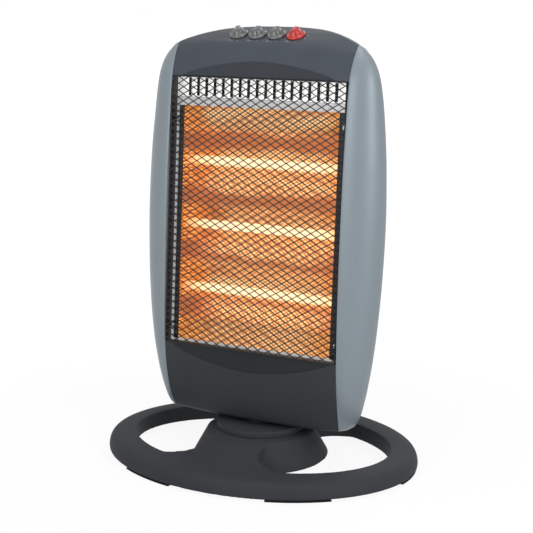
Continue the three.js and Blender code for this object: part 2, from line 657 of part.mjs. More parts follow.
function buildCasing(head) {
  const outer = headForm(0);
  const inner = headForm(SKIN);
  const middle = middleBlock(-GAP / 2);
  const shell = cut(outer, inner);

  // bottom housing: closed by a shelf under the opening, with the swivel seat and motor posts
  const low = rearBosses(BOSS_LOW_Z);
  const lowBlock = outer.intersect(middle).intersect(below(OPENING_BOTTOM)).intersect(before(SEAM_REAR_Y));
  const standing = (geometry) => solid(unleaned(geometry)).intersect(outer);
  const seat = standing(rod(SEAT_RADIUS, 0, SEAT_TOP, 32));
  const motorPosts = [-1, 1].map((side) =>
    standing(rod(MOTOR_EAR_RADIUS, 0, MOTOR_BOTTOM - GAP, 12).translate(side * MOTOR_EAR_X, CRANK_OFFSET, 0)));
  const [padX, padY] = TERMINAL_PAD.map((side) => side / 2);
  const terminalPad = outer.intersect(solid(block([TERMINAL_X - padX, TERMINAL_Y - padY, 0],
    [TERMINAL_X + padX, TERMINAL_Y + padY, TERMINAL_PAD_TOP])));
  const postHole = solid(unleaned(rod(POST_RADIUS + GAP, -FAR, FAR, 32)));
  const lowShell = cut(lowBlock, inner.intersect(below(OPENING_BOTTOM - SKIN)));
  piece(head, 'lower_housing', cut(joined(lowShell, seat, ...motorPosts, terminalPad, ...low.posts),
    ...low.holes, postHole), charcoal);

  // top housing: deck, scoop, arched band and a shelf over the opening
  const high = rearBosses(BOSS_HIGH_Z);
  const topBlock = outer.intersect(middle).intersect(above(OPENING_TOP)).intersect(before(SEAM_REAR_Y));
  const topShell = cut(topBlock, inner.intersect(above(OPENING_TOP + SKIN)));
  const shaftHoles = knobPlaces().map(([x, y, z]) =>
    solid(rod(KNOB_SHAFT_RADIUS + GAP, -SKIN * 4, SKIN * 4, 16).rotateX(DECK_TILT).translate(x, y, z)));
  piece(head, 'upper_housing', cut(joined(topShell, ...high.posts), ...high.holes, ...shaftHoles), slate);

  // side panels, with their front edge turned in beside the guard
  const outside = cut(outer, middleBlock(GAP / 2), behindPanels(-GAP / 2));
  const turnedIn = frontLayer(RETURN_DEPTH).intersect(middleBlock(SKIN));
  const hollow = cut(inner, turnedIn);
  for (const [name, side] of [['side_panel_left', -1], ['side_panel_right', 1]]) {
    piece(head, name, cut(outside.intersect(sideOf(side)), hollow), silverPaint);
  }

  // rear cover: drawn in behind the panels, with louvres, screw holes and the gland's hole
  const rearOutside = shell.intersect(behindPanels(GAP / 2));
  const ends = joined(below(OPENING_BOTTOM + GAP), above(OPENING_TOP - GAP));
  const housings = middleBlock(GAP / 2).intersect(before(SEAM_REAR_Y + GAP)).intersect(ends);
  const screwHoles = REAR_SCREWS.map(([x, z]) =>
    solid(alongY(rod(REAR_SCREW_RADIUS + GAP, 0, FAR, 8)).translate(x, 0, z)));
  const glandHole = solid(alongY(rod(GLAND_RADIUS + GAP, -SKIN * 3, SKIN * 3)).rotateX(rearPitch(GLAND_Z))
    .translate(GLAND_X, rearSurfaceY(GLAND_Z), GLAND_Z));
  piece(head, 'rear_cover', cut(rearOutside, housings, ...louvres(), ...screwHoles, glandHole), charcoal);
}

/** Two rows of level slots through the rear cover. */
function louvres() {
  const rows = [];
  for (const start of [LOUVRE_TOP_Z, LOUVRE_LOW_Z]) {
    for (let i = 0; i < LOUVRE_COUNT; i += 1) {
      const z = start - i * LOUVRE_PITCH;
      rows.push(solid(block([-LOUVRE_HALF_LENGTH, SEAM_REAR_Y + SKIN, z - LOUVRE_HEIGHT / 2],
        [LOUVRE_HALF_LENGTH, FAR, z + LOUVRE_HEIGHT / 2])));
    }
  }
  return rows;
}

// --------------------------------------------------------------- heating unit

const tubeHeights = () => Array.from({ length: TUBE_COUNT }, (_, i) =>
  TUBE_MIDDLE + (i - (TUBE_COUNT - 1) / 2) * TUBE_PITCH);

/** The polished tray: three troughs, sloped ends, side plates and a flange all round. */
function reflector() {
  const line = [[TRAY_FRONT, TRAY_LIP_BOTTOM]];
  for (const middle of tubeHeights()) {
    for (let i = 0; i <= TROUGH_STEPS; i += 1) {
      const share = (2 * i) / TROUGH_STEPS - 1;
      line.push([TROUGH_FRONT + TROUGH_DEPTH * (1 - share * share), middle + (share * TUBE_PITCH) / 2]);
    }
    if (middle !== tubeHeights().at(-1)) line.pop();
  }
  line.push([TRAY_FRONT, TRAY_LIP_TOP]);
  const back = line.map(([y, z]) => [y + TROUGH_SHEET, z]).reverse();
  const troughs = solid(acrossX([...line, ...back], -TRAY_HALF_WIDTH - 0.1, TRAY_HALF_WIDTH + 0.1));

  const frameOuter = TRAY_HALF_WIDTH + TRAY_FLANGE;
  const frame = cut(
    solid(block([-frameOuter, TRAY_FRONT - SHEET, OPENING_BOTTOM + GAP + 0.5],
      [frameOuter, TRAY_FRONT + 0.2, VENT_BOTTOM - GAP])),
    solid(block([-TRAY_HALF_WIDTH, -FAR, TRAY_LIP_BOTTOM], [TRAY_HALF_WIDTH, FAR, TRAY_LIP_TOP])));
  const holes = tubeHeights().map((z) =>
    solid(alongX(rod(TUBE_RADIUS + GAP, -FAR, FAR)).translate(0, TUBE_Y, z)));
  const sides = [-1, 1].map((side) => {
    const near = side * TRAY_HALF_WIDTH;
    const far = side * (TRAY_HALF_WIDTH + SHEET);
    const depth = TROUGH_FRONT + TROUGH_DEPTH + TROUGH_SHEET;
    return solid(block([Math.min(near, far), TRAY_FRONT - SHEET, TRAY_LIP_BOTTOM - TRAY_LAP],
      [Math.max(near, far), depth, TRAY_LIP_TOP + TRAY_LAP]));
  });
  return cut(joined(troughs, frame, ...sides), ...holes, ...barScrewHoles());
}

const BAR_SCREW_X = BAR_X + BAR_WIDTH / 2 + BAR_EAR_INSET;
const barScrewPlaces = () => [-1, 1].flatMap((side) =>
  [TRAY_LIP_BOTTOM + BAR_SCREW_INSET, TRAY_LIP_TOP - BAR_SCREW_INSET].map((z) => [side * BAR_SCREW_X, z]));
const barScrewHoles = () => barScrewPlaces().map(([x, z]) =>
  solid(alongY(rod(BAR_SCREW_RADIUS + GAP, -FAR, FAR, 12)).translate(x, 0, z)));

/** The dark bar that stands in front of the tube ends on one side. */
function holderBar(side) {
  const rear = TRAY_FRONT - SHEET - GAP;
  const front = rear - BAR_THICKNESS;
  const x = side * BAR_X;
  const strip = solid(block([x - BAR_WIDTH / 2, front, TRAY_LIP_BOTTOM + GAP],
    [x + BAR_WIDTH / 2, rear, TRAY_LIP_TOP - GAP]));
  const ears = barScrewPlaces().filter(([place]) => place * side > 0).map(([place, z]) =>
    solid(alongY(rod(BAR_EAR_RADIUS, front, rear, 12)).translate(place - side * BAR_EAR_INSET, 0, z)));
  return cut(joined(strip, ...ears), ...barScrewHoles());
}

function ventPlate() {
  const half = TRAY_HALF_WIDTH + TRAY_FLANGE;
  const plate = solid(block([-half, TRAY_FRONT - SHEET, VENT_BOTTOM], [half, TRAY_FRONT, VENT_TOP]));
  const slots = Array.from({ length: SLOT_COUNT }, (_, i) => {
    const x = (i - (SLOT_COUNT - 1) / 2) * SLOT_PITCH;
    return solid(block([x - SLOT_WIDTH / 2, -FAR, VENT_BOTTOM + SLOT_MARGIN],
      [x + SLOT_WIDTH / 2, FAR, VENT_TOP - SLOT_MARGIN]));
  });
  return cut(plate, ...slots);
}

/** A shallow tray that closes the reflector's back. */
function heatShield() {
  const half = TRAY_HALF_WIDTH + SHEET + GAP;
  const outer = block([-half - SHEET, SHIELD_FRONT, TRAY_LIP_BOTTOM - TRAY_LAP - GAP - SHEET],
    [half + SHEET, SHIELD_REAR, TRAY_LIP_TOP + TRAY_LAP + GAP + SHEET]);
  const inner = block([-half, SHIELD_FRONT - 1, TRAY_LIP_BOTTOM - TRAY_LAP - GAP],
    [half, SHIELD_REAR - SHEET, TRAY_LIP_TOP + TRAY_LAP + GAP]);
  return cut(solid(outer), solid(inner));
}

/** The expanded-metal guard: a flat net with its four edges bent back. */
function guard() {
  const half = GUARD_HALF_WIDTH;
  const front = FACET_Y - GUARD_PROUD;
  const bottom = OPENING_BOTTOM + GAP;
  const top = OPENING_TOP - GAP;
  const rear = TRAY_FRONT - SHEET - GAP;
  const net = block([-half, front, bottom], [half, front + GUARD_WIRE, top]);
  const walls = [
    block([-half, front, bottom], [-half + GUARD_WIRE, rear, top]),
    block([half - GUARD_WIRE, front, bottom], [half, rear, top]),
    block([-half, front, bottom], [half, rear, bottom + GUARD_WIRE]),
    block([-half, front, top - GUARD_WIRE], [half, rear, top]),
  ];
  const [cellX, cellZ] = GUARD_CELL;
  const cells = [];
  const columns = Math.ceil(half / cellX) + 1;
  const rows = Math.ceil((top - bottom) / cellZ) + 1;
  const slack = GUARD_STRAND / 2;
  const holeX = cellX / 2 - slack * Math.hypot(1, cellX / cellZ);
  const holeZ = cellZ / 2 - slack * Math.hypot(1, cellZ / cellX);
  for (let row = -rows; row <= rows; row += 1) {
    for (let column = -columns; column <= columns; column += 1) {
      const x = (column + (Math.abs(row) % 2) / 2) * cellX;
      const z = (top + bottom) / 2 + (row * cellZ) / 2;
      const diamond = [[x - holeX, z], [x, z - holeZ], [x + holeX, z], [x, z + holeZ]];
      cells.push(acrossY(diamond, front - 1, front + GUARD_WIRE + 1));
    }
  }
  const window = solid(block([-half + GUARD_FRAME, -FAR, bottom + GUARD_FRAME],
    [half - GUARD_FRAME, FAR, top - GUARD_FRAME]));
  const holes = solid(mergeGeometries(cells)).intersect(window);
  return joined(cut(solid(net), holes), ...walls.map(solid));
}

/** A ceramic end cap with a socket for the tube and a deeper one for the filament's tail. */
function endCap() {
  const tubeSocket = TUBE_RADIUS + GAP;
  const tailSocket = FILAMENT_RADIUS + GAP;
  const deep = FILAMENT_HALF_LENGTH - TRAY_HALF_WIDTH - SHEET;
  return turned([[tubeSocket, 0], [CAP_RADIUS, 0], [CAP_RADIUS, CAP_LENGTH - 2], [CAP_RADIUS - 2, CAP_LENGTH],
    [0, CAP_LENGTH], [0, deep + GAP], [tailSocket, deep + GAP], [tailSocket, CAP_SOCKET],
    [tubeSocket, CAP_SOCKET], [tubeSocket, 0]], 12);
}

function buildHeatingUnit(head) {
  piece(head, 'reflector', reflector(), mirror);
  piece(head, 'top_vent_plate', ventPlate(), zinc);
  piece(head, 'heat_shield', heatShield(), zinc);
  piece(head, 'guard', guard(), blackWire);
  piece(head, 'tube_holder_left', holderBar(-1), darkFitting);
  piece(head, 'tube_holder_right', holderBar(1), darkFitting);
  barScrewPlaces().forEach(([x, z], i) => {
    const shape = screw(BAR_SCREW_RADIUS, BAR_THICKNESS + SHEET + BAR_SCREW_BITE);
    const mesh = piece(head, `holder_screw_${i + 1}`, shape, zinc);
    mesh.rotation.x = Math.PI / 2;
    mesh.position.set(x, TRAY_FRONT - SHEET - BAR_THICKNESS - 2 * GAP, z);
  });

  const capStart = TRAY_HALF_WIDTH + SHEET + GAP;
  tubeHeights().forEach((z, i) => {
    const tube = piece(head, `quartz_tube_${i + 1}`, alongX(pipe(TUBE_RADIUS, TUBE_RADIUS - TUBE_WALL,
      -TUBE_HALF_LENGTH + GAP, TUBE_HALF_LENGTH - GAP, 20)), quartz);
    tube.position.set(0, TUBE_Y, z);
    const wire = piece(head, `filament_${i + 1}`, alongX(rod(FILAMENT_RADIUS, -FILAMENT_HALF_LENGTH,
      FILAMENT_HALF_LENGTH, 10)), glow);
    wire.position.set(0, TUBE_Y, z);
    for (const [word, side] of [['left', -1], ['right', 1]]) {
      const cap = piece(head, `tube_cap_${word}_${i + 1}`, endCap(), ceramic);
      cap.rotation.y = (side * Math.PI) / 2;
      cap.position.set(side * capStart, TUBE_Y, z);
    }
  });

  const button = turned([[0, 0], [CUTOUT_RADIUS, 0], [CUTOUT_RADIUS, CUTOUT_HEIGHT * 0.6],
    [CUTOUT_RADIUS * 0.7, CUTOUT_HEIGHT], [0, CUTOUT_HEIGHT]]);
  const cutout = piece(head, 'thermal_cutout', alongY(button), darkFitting);
  cutout.position.set(0, SHIELD_REAR + GAP, CUTOUT_Z);
}

// ------------------------------------------------------------------ controls

/** Where each knob's axis meets the deck, in the head's frame. */
function knobPlaces() {
  return Array.from({ length: KNOB_COUNT }, (_, i) => [
    KNOB_ROW_X + (i - (KNOB_COUNT - 1) / 2) * KNOB_PITCH,
    DECK_FRONT[0] + KNOB_UP_DECK * Math.cos(DECK_TILT),
    DECK_FRONT[1] + KNOB_UP_DECK * Math.sin(DECK_TILT),
  ]);
}

/** A knob standing on z = 0: a skirt, a raised grip bar and the shaft below. */
function knob() {
  const skirt = solid(turned([[0, -KNOB_SHAFT_LENGTH], [KNOB_SHAFT_RADIUS, -KNOB_SHAFT_LENGTH],
    [KNOB_SHAFT_RADIUS, GAP], [KNOB_RADIUS, GAP], [KNOB_RADIUS, KNOB_SKIRT * 0.5],
    [KNOB_RADIUS * 0.84, KNOB_SKIRT], [0, KNOB_SKIRT]], 20));
  const [width, length, height] = KNOB_GRIP;
  const outline = [[-length / 2, 1], [length / 2, 1], [length * 0.36, height], [-length * 0.3, height]];
  return joined(skirt, solid(acrossX(outline, -width / 2, width / 2)));
}

function buildControls(head) {
  knobPlaces().forEach(([x, y, z], i) => {
    const mount = new THREE.Group();
    mount.position.set(x, y, z);
    mount.rotation.x = DECK_TILT;
    head.add(mount);
    piece(mount, `knob_${i + 1}`, knob(), i === KNOB_COUNT - 1 ? knobRed : knobGrey);
    const [width, depth, height] = SWITCH_BODY;
    const top = -SKIN - GAP;
    const body = solid(block([-width / 2, -depth / 2, top - height], [width / 2, depth / 2, top]));
    const bore = solid(rod(KNOB_SHAFT_RADIUS + GAP, -KNOB_SHAFT_LENGTH - GAP, 0, 16));
    piece(mount, `rotary_switch_${i + 1}`, cut(body, bore), darkFitting);
  });
}

// ------------------------------------------------------- swivel drive, wiring

const CRANK_BOTTOM = POST_TOP + MOTOR_CLEARANCE;
const MOTOR_BOTTOM = CRANK_BOTTOM + CRANK_THICKNESS + MOTOR_CLEARANCE;

function buildSwivel(standing) {
  // collar between the hub and the leaning housing
  const clear = solid(leaned(headLoft(-GAP)));
  const disc = solid(pipe(COLLAR_RADIUS, POST_RADIUS + GAP, HUB_HEIGHT + GAP, COLLAR_TOP, 36));
  piece(standing, 'swivel_collar', cut(disc, clear), charcoal);

  const crank = new THREE.Group();
  crank.position.y = CRANK_OFFSET;
  standing.add(crank);
  const pin = solid(rod(CRANK_PIN_RADIUS, YOKE_BOTTOM, CRANK_BOTTOM + 0.5, 16).translate(0, CRANK_THROW, 0));
  const disk = solid(turned([[0, CRANK_BOTTOM], [CRANK_RADIUS, CRANK_BOTTOM],
    [CRANK_RADIUS, CRANK_BOTTOM + CRANK_THICKNESS], [CRANK_SHAFT_RADIUS, CRANK_BOTTOM + CRANK_THICKNESS],
    [CRANK_SHAFT_RADIUS, MOTOR_BOTTOM + MOTOR_SHAFT], [0, MOTOR_BOTTOM + MOTOR_SHAFT]], 28));
  piece(crank, 'crank_disc', joined(disk, pin), nylon);

  const can = solid(rod(MOTOR_RADIUS, MOTOR_BOTTOM, MOTOR_BOTTOM + MOTOR_HEIGHT, 32));
  const ears = solid(block([-MOTOR_EAR_X - MOTOR_EAR_RADIUS, -MOTOR_EAR_RADIUS, MOTOR_BOTTOM],
    [MOTOR_EAR_X + MOTOR_EAR_RADIUS, MOTOR_EAR_RADIUS, MOTOR_BOTTOM + MOTOR_EAR_THICKNESS]));
  const bore = solid(rod(CRANK_SHAFT_RADIUS + GAP, MOTOR_BOTTOM - 1, MOTOR_BOTTOM + MOTOR_SHAFT + GAP, 16));
  piece(crank, 'oscillation_motor', cut(joined(can, ears), bore), zinc);
}

function buildWiring(head) {
  const [width, depth, height] = TERMINAL_BODY;
  const base = TERMINAL_PAD_TOP + GAP;
  const body = solid(block([TERMINAL_X - width / 2, TERMINAL_Y - depth / 2, base],
    [TERMINAL_X + width / 2, TERMINAL_Y + depth / 2, base + height]));
  const wells = Array.from({ length: WELL_COUNT }, (_, i) => {
    const x = TERMINAL_X + (i - (WELL_COUNT - 1) / 2) * WELL_PITCH;
    return solid(rod(WELL_RADIUS, base + height - WELL_DEPTH, FAR, 12).translate(x, TERMINAL_Y, 0));
  });
  piece(head, 'terminal_block', cut(body, ...wells), nylon);

  REAR_SCREWS.forEach(([x, z], i) => {
    const reach = screwHead(REAR_SCREW_RADIUS);
    const y = Math.max(rearSurfaceY(z - reach), rearSurfaceY(z + reach));
    const shape = screw(REAR_SCREW_RADIUS, y - BOSS_END + REAR_SCREW_BITE);
    const mesh = piece(head, `rear_screw_${i + 1}`, shape, zinc);
    mesh.rotation.x = -Math.PI / 2;
    mesh.position.set(x, y + GAP, z);
  });

  const gland = piece(head, 'cable_gland', alongY(turned([[GLAND_BORE, -SKIN * 2], [GLAND_RADIUS, -SKIN * 2],
    [GLAND_RADIUS, GAP], [GLAND_RADIUS + GLAND_RIM, GAP], [GLAND_RADIUS + GLAND_RIM, GLAND_RIM],
    [GLAND_BORE + GLAND_TIP, GLAND_REACH], [GLAND_BORE, GLAND_REACH], [GLAND_BORE, -SKIN * 2]])), rubber);
  gland.position.set(GLAND_X, rearSurfaceY(GLAND_Z), GLAND_Z);
  gland.rotation.x = rearPitch(GLAND_Z);
}

/** Depth of the rear cover's flat at a height. */
function rearSurfaceY(height) {
  const next = STATIONS.findIndex(([z]) => z >= height);
  const [low, high] = [STATIONS[next - 1], STATIONS[next]];
  return low[6] + ((high[6] - low[6]) * (height - low[0])) / (high[0] - low[0]);
}

/** Angle that turns +Y onto the rear cover's outward normal at a height. */
const rearPitch = (height) => -Math.atan(rearSurfaceY(height + 0.5) - rearSurfaceY(height - 0.5));

// ------------------------------------------------------------------ assembly

const heater = new THREE.Group();
heater.add(buildBase());

const standing = new THREE.Group();
heater.add(standing);
buildSwivel(standing);

const head = new THREE.Group();
head.rotation.x = -LEAN;
standing.add(head);
buildCasing(head);
buildHeatingUnit(head);
buildControls(head);
buildWiring(head);

export default heater;
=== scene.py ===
# %% [markdown]
# # A halogen heater in its studio
# The heater stands on an open oval base, and its leaning head holds three quartz tubes in
# polished troughs behind a mesh of expanded metal. Everything that moves or fits comes in as a
# fixed frame. This file makes the surfaces that a person sees, and keeps each one where the
# frame has it. All sizes below are written in millimetres and turned into metres by MM.

# %% Load the frame
import json
import math

import bpy
import numpy as np
from mathutils import Matrix, Vector


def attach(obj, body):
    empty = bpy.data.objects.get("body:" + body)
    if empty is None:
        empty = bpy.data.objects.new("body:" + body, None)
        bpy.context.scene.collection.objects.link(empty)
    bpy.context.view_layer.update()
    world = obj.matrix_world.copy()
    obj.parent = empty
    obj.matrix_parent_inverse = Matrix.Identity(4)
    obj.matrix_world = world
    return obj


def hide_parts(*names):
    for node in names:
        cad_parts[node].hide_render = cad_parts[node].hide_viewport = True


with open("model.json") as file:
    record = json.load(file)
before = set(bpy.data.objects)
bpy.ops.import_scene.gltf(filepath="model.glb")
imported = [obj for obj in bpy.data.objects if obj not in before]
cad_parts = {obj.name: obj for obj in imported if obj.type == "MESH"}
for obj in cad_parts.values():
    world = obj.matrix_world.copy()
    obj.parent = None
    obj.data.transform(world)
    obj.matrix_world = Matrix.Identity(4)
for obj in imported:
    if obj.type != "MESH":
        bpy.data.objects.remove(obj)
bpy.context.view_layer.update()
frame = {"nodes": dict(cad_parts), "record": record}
MM = 0.001

# %% [markdown]
# The camera comes first, because all else is judged through it. A picture taken from a little
# above, with a long lens, keeps the upright edges almost parallel. Its place is given by how far
# it is turned and raised about the heater, so that it can be read as a photographer would say it.

# %% Camera
CAMERA_TURN = math.radians(28.29)
CAMERA_RISE = math.radians(11.86)
CAMERA_DISTANCE = 1491.1
AIM_RIGHT = 6.3
AIM_UP = 203.8
LENS = 92.45
SENSOR = 36

toward = Vector((math.sin(CAMERA_TURN) * math.cos(CAMERA_RISE),
                 -math.cos(CAMERA_TURN) * math.cos(CAMERA_RISE),
                 math.sin(CAMERA_RISE)))
across = Vector((math.cos(CAMERA_TURN), math.sin(CAMERA_TURN), 0))
upward = toward.cross(across)

bpy.ops.object.camera_add()
camera = bpy.context.object
camera.name = "camera"
place = Matrix((across, upward, toward)).transposed().to_4x4()
place.translation = (across * AIM_RIGHT + upward * AIM_UP + toward * CAMERA_DISTANCE) * MM
camera.matrix_world = place
camera.data.lens = LENS
camera.data.sensor_width = SENSOR
bpy.context.scene.camera = camera
bpy.context.scene.view_settings.view_transform = "Standard"
print("camera stands at", tuple(round(value, 3) for value in place.translation))

# %% [markdown]
# Studio light on such an object is broad and soft: a large lamp in front on each side shapes the
# bulging panels, and one above draws the soft line along the top and the rim of the base. The
# lamps stay at a level at which a colour renders about as it is written.

# %% Lamps
LAMPS = {
    "lamp_left": ((-400, -2100, 900), 900, 11),
    "lamp_right": ((1900, -700, 900), 1100, 14),
    "lamp_top": ((100, -200, 2200), 1300, 11),
    "lamp_back": ((-200, 1900, 1200), 900, 6),
}
AIM = Vector((0, 0, 230))

for lamp_name, (lamp_place, lamp_size, lamp_power) in LAMPS.items():
    bpy.ops.object.light_add(type="AREA", location=Vector(lamp_place) * MM)
    lamp = bpy.context.object
    lamp.name = lamp_name
    lamp.data.size = lamp_size * MM
    lamp.data.energy = lamp_power
    lamp.rotation_euler = (Vector(lamp_place) - AIM).to_track_quat("Z", "Y").to_euler()
print("lamps:", len(LAMPS))

# %% [markdown]
# Finishes are procedural, so they are worked out from where a point lies on the piece. Written as
# nodes, even a short sum is hard to read. A small class that wraps a socket lets Python's own
# operators build the nodes, so that a finish reads as an expression such as 0.4 + 0.1 * grain.


# %% Shader sums as Python
def math_node(operation, swapped=False):
    """A method that adds a Math node to the field it is called on."""
    def method(self, *others):
        values = (*others, self) if swapped else (self, *others)
        return self.nodes.node("ShaderNodeMath", {"operation": operation}, *values)

    return method


class Field:
    """A number that changes over a surface."""

    def __init__(self, nodes, socket):
        self.nodes = nodes
        self.socket = socket

    __add__, __radd__ = math_node("ADD"), math_node("ADD", swapped=True)
    __sub__, __rsub__ = math_node("SUBTRACT"), math_node("SUBTRACT", swapped=True)
    __mul__, __rmul__ = math_node("MULTIPLY"), math_node("MULTIPLY", swapped=True)
    __truediv__, __pow__, __abs__ = math_node("DIVIDE"), math_node("POWER"), math_node("ABSOLUTE")
    most, wrap = math_node("MAXIMUM"), math_node("WRAP")

    def repeats(self, length):
        """How far a point lies from the middle of its repeat, from -length / 2 to length / 2."""
        return self.wrap(length / 2, -length / 2)

    def rises(self, low, high):
        """0 below low and 1 above high, with a soft step between them."""
        settings = {"interpolation_type": "SMOOTHSTEP"}
        return self.nodes.node("ShaderNodeMapRange", settings, self, low, high, 0.0, 1.0)


class Nodes:
    """A node tree whose nodes are made on demand."""

    def __init__(self, tree):
        self.tree = tree

    def node(self, kind, settings=None, *values, output=None, **named):
        """Adds a node: its settings first, then values or links by the order or name of its sockets."""
        node = self.tree.nodes.new(kind)
        for setting, value in (settings or {}).items():
            setattr(node, setting, value)
        sockets = [socket for socket in node.inputs if socket.enabled]
        for socket, value in zip(sockets, values):
            self.feed(socket, value)
        for label, value in named.items():
            self.feed(next(s for s in sockets if s.name == label.replace("_", " ")), value)
        outputs = [socket for socket in node.outputs if socket.enabled]
        chosen = next((s for s in outputs if s.name == output), outputs[0])
        return Field(self, chosen)

    def feed(self, socket, value):
        if isinstance(value, Field):
            self.tree.links.new(value.socket, socket)
        elif isinstance(value, tuple) and socket.type == "RGBA":
            socket.default_value = (*value, 1)
        else:
            socket.default_value = value

    def seen(self):
        """1 for what the camera sees, also in a mirror or through glass, and 0 for light."""
        eye, mirror, glass = (self.node("ShaderNodeLightPath", output=f"Is {ray} Ray")
                              for ray in ("Camera", "Glossy", "Transmission"))
        return eye.most(mirror).most(glass)


class Finish(Nodes):
    """One material, kept by its name in FINISHES."""

    def __init__(self, name):
        self.material = FINISHES[name] = bpy.data.materials.new(name)
        self.material.use_nodes = True
        super().__init__(self.material.node_tree)
        self.shader = self.tree.nodes["Principled BSDF"]

    def set(self, **values):
        """Gives the surface shader's own sockets their values or links."""
        for label, value in values.items():
            self.feed(self.shader.inputs[label.replace("_", " ")], value)

    def mix(self, factor, first, second):
        settings = {"data_type": "RGBA"}
        return self.node("ShaderNodeMix", settings, Factor=factor, A=first, B=second)

    def point(self):
        """The place on the piece, in metres."""
        return self.node("ShaderNodeTexCoord", output="Object")

    def leaning_point(self):
        """The place in the head's own frame, which leans back with it."""
        turn = (LEAN, 0.0, 0.0)
        settings = {"vector_type": "POINT"}
        return self.node("ShaderNodeMapping", settings, Vector=self.point(), Rotation=turn)

    def axes(self, point):
        """A point's X, Y and Z in millimetres."""
        parts = [self.node("ShaderNodeSeparateXYZ", None, point, output=axis) for axis in "XYZ"]
        return [part / MM for part in parts]

    def noise(self, scale, detail=2.0, rough=0.5):
        """Cloudy noise from 0 to 1, with about this many clouds in a metre."""
        return self.node("ShaderNodeTexNoise", None, Vector=self.point(), Scale=scale,
                         Detail=detail, Roughness=rough)

    def streaks(self, stretch, detail=3.0):
        """Noise with its own number of clouds in a metre along each axis."""
        settings = {"operation": "MULTIPLY"}
        place = self.node("ShaderNodeVectorMath", settings, self.point(), stretch)
        return self.node("ShaderNodeTexNoise", None, Vector=place, Scale=1.0, Detail=detail)

    def bump(self, height, depth_mm, strength=0.4):
        """Moves the shading normal as if the surface rose by this many millimetres."""
        self.set(Normal=self.node("ShaderNodeBump", None, Strength=strength,
                                  Distance=depth_mm * MM, Height=height))


def tint(code):
    """A screen colour such as 454c55 as linear light."""
    shares = [int(code[i:i + 2], 16) / 255 for i in (0, 2, 4)]
    return tuple(s / 12.92 if s <= 0.04045 else ((s + 0.055) / 1.055) ** 2.4 for s in shares)


def shade(colour, factor):
    """The same colour, lighter or darker."""
    return tuple(min(1.0, value * factor) for value in colour)


FINISHES = {}
BLACK = (0.0, 0.0, 0.0)
LEAN = math.radians(4.43)
print("shader sums ready")

# %% [markdown]
# Moulded plastic is never one flat colour. The mould leaves a fine grain that breaks up
# highlights, the tone drifts a little over a large part, and handling polishes some areas. Three
# noises of very different scale give that: grain in the bump, drift in the colour, and handling
# in the roughness. Faces that pick_flat marks on the brow and the front band have the coarser texture
# that moulders give to recesses, and are darkened with painted shade.


# %% Plastics and paint
# How far the marked flats are darkened as painted shade, and how much rougher they are.
PAINTED_SHADE_DARKER, SUNK_ROUGHER = 0.42, 0.15


def moulded(name, code, roughness=0.6, grain=1400, depth=0.03, sheen=0.2, coat=0.0):
    """Plastic with a moulded grain, which keeps its sheen low."""
    finish = Finish(name)
    base = tint(code)
    drift = finish.noise(9, 3.0).rises(0.3, 0.7)
    handling = finish.noise(38, 4.0)
    rough_and_painted_shade = finish.node("ShaderNodeAttribute", {"attribute_name": "rough_and_painted_shade"}, output="Fac")
    colour = finish.mix(drift, shade(base, 0.93), shade(base, 1.07))
    # Painted shade: the marked flats of the brow and the front band are mixed towards black.
    finish.set(Base_Color=finish.mix(rough_and_painted_shade * PAINTED_SHADE_DARKER, colour, BLACK),
               Roughness=roughness - 0.05 + handling * 0.1 + rough_and_painted_shade * SUNK_ROUGHER,
               Specular_IOR_Level=sheen, Coat_Weight=coat)
    finish.bump(finish.noise(grain, 1.0), depth, 0.5)


def silver_paint(name, code):
    """Paint with fine metal flake under a thin clear coat."""
    finish = Finish(name)
    base = tint(code)
    flake = finish.noise(5200, 0.0)
    sparkle = finish.mix(flake.rises(0.45, 0.8), shade(base, 0.95), shade(base, 1.16))
    drift = finish.noise(7, 2.0)
    finish.set(Base_Color=finish.mix(drift * 0.18, sparkle, shade(base, 1.12)),
               Metallic=0.14 + flake * 0.14, Roughness=0.36 + finish.noise(60, 3.0) * 0.08,
               Specular_IOR_Level=0.35, Coat_Weight=0.12, Coat_Roughness=0.3)
    finish.bump(finish.noise(700, 2.0), 0.012)


moulded("slate_plastic", "454c55", 0.46, sheen=0.32)
moulded("charcoal_plastic", "3a3e41")
moulded("base_plastic", "3e4044", 0.7, grain=1100, depth=0.04, sheen=0.12)
moulded("knob_grey", "666767", 0.3, grain=1800, depth=0.01, sheen=0.6, coat=0.3)
moulded("knob_red", "cc2419", 0.3, grain=1800, depth=0.01, sheen=0.5, coat=0.3)
moulded("plunger_red", "c82a20", 0.45)
moulded("natural_nylon", "d8d4c8")
moulded("dark_fitting", "26282b")
moulded("rubber", "1c1d1e", 0.8, grain=900, depth=0.06)
moulded("end_cap_ceramic", "e8e2d4", 0.75, grain=600, depth=0.05)
moulded("pale_print", "b4b8bc", 0.5, grain=2000, depth=0.005)
silver_paint("silver_painted_plastic", "8a959d")
print("plastics and paint:", len(FINISHES))

# %% [markdown]
# The metal parts are of three kinds: zinc-plated sheet with faint rolling marks, black heat-proof
# enamel, and the polished tray. The light of the glowing wire on the tray is painted into its
# colour and given out as a painted glow: orange over all, painted shade in brown where it turns
# away, and a white painted highlight behind each tube. Those bands follow the tubes' heights, so
# they are worked out from the head's own height. The mesh in front of it is painted in as its
# reflection, a red lattice that wavers as the pressed sheet does.

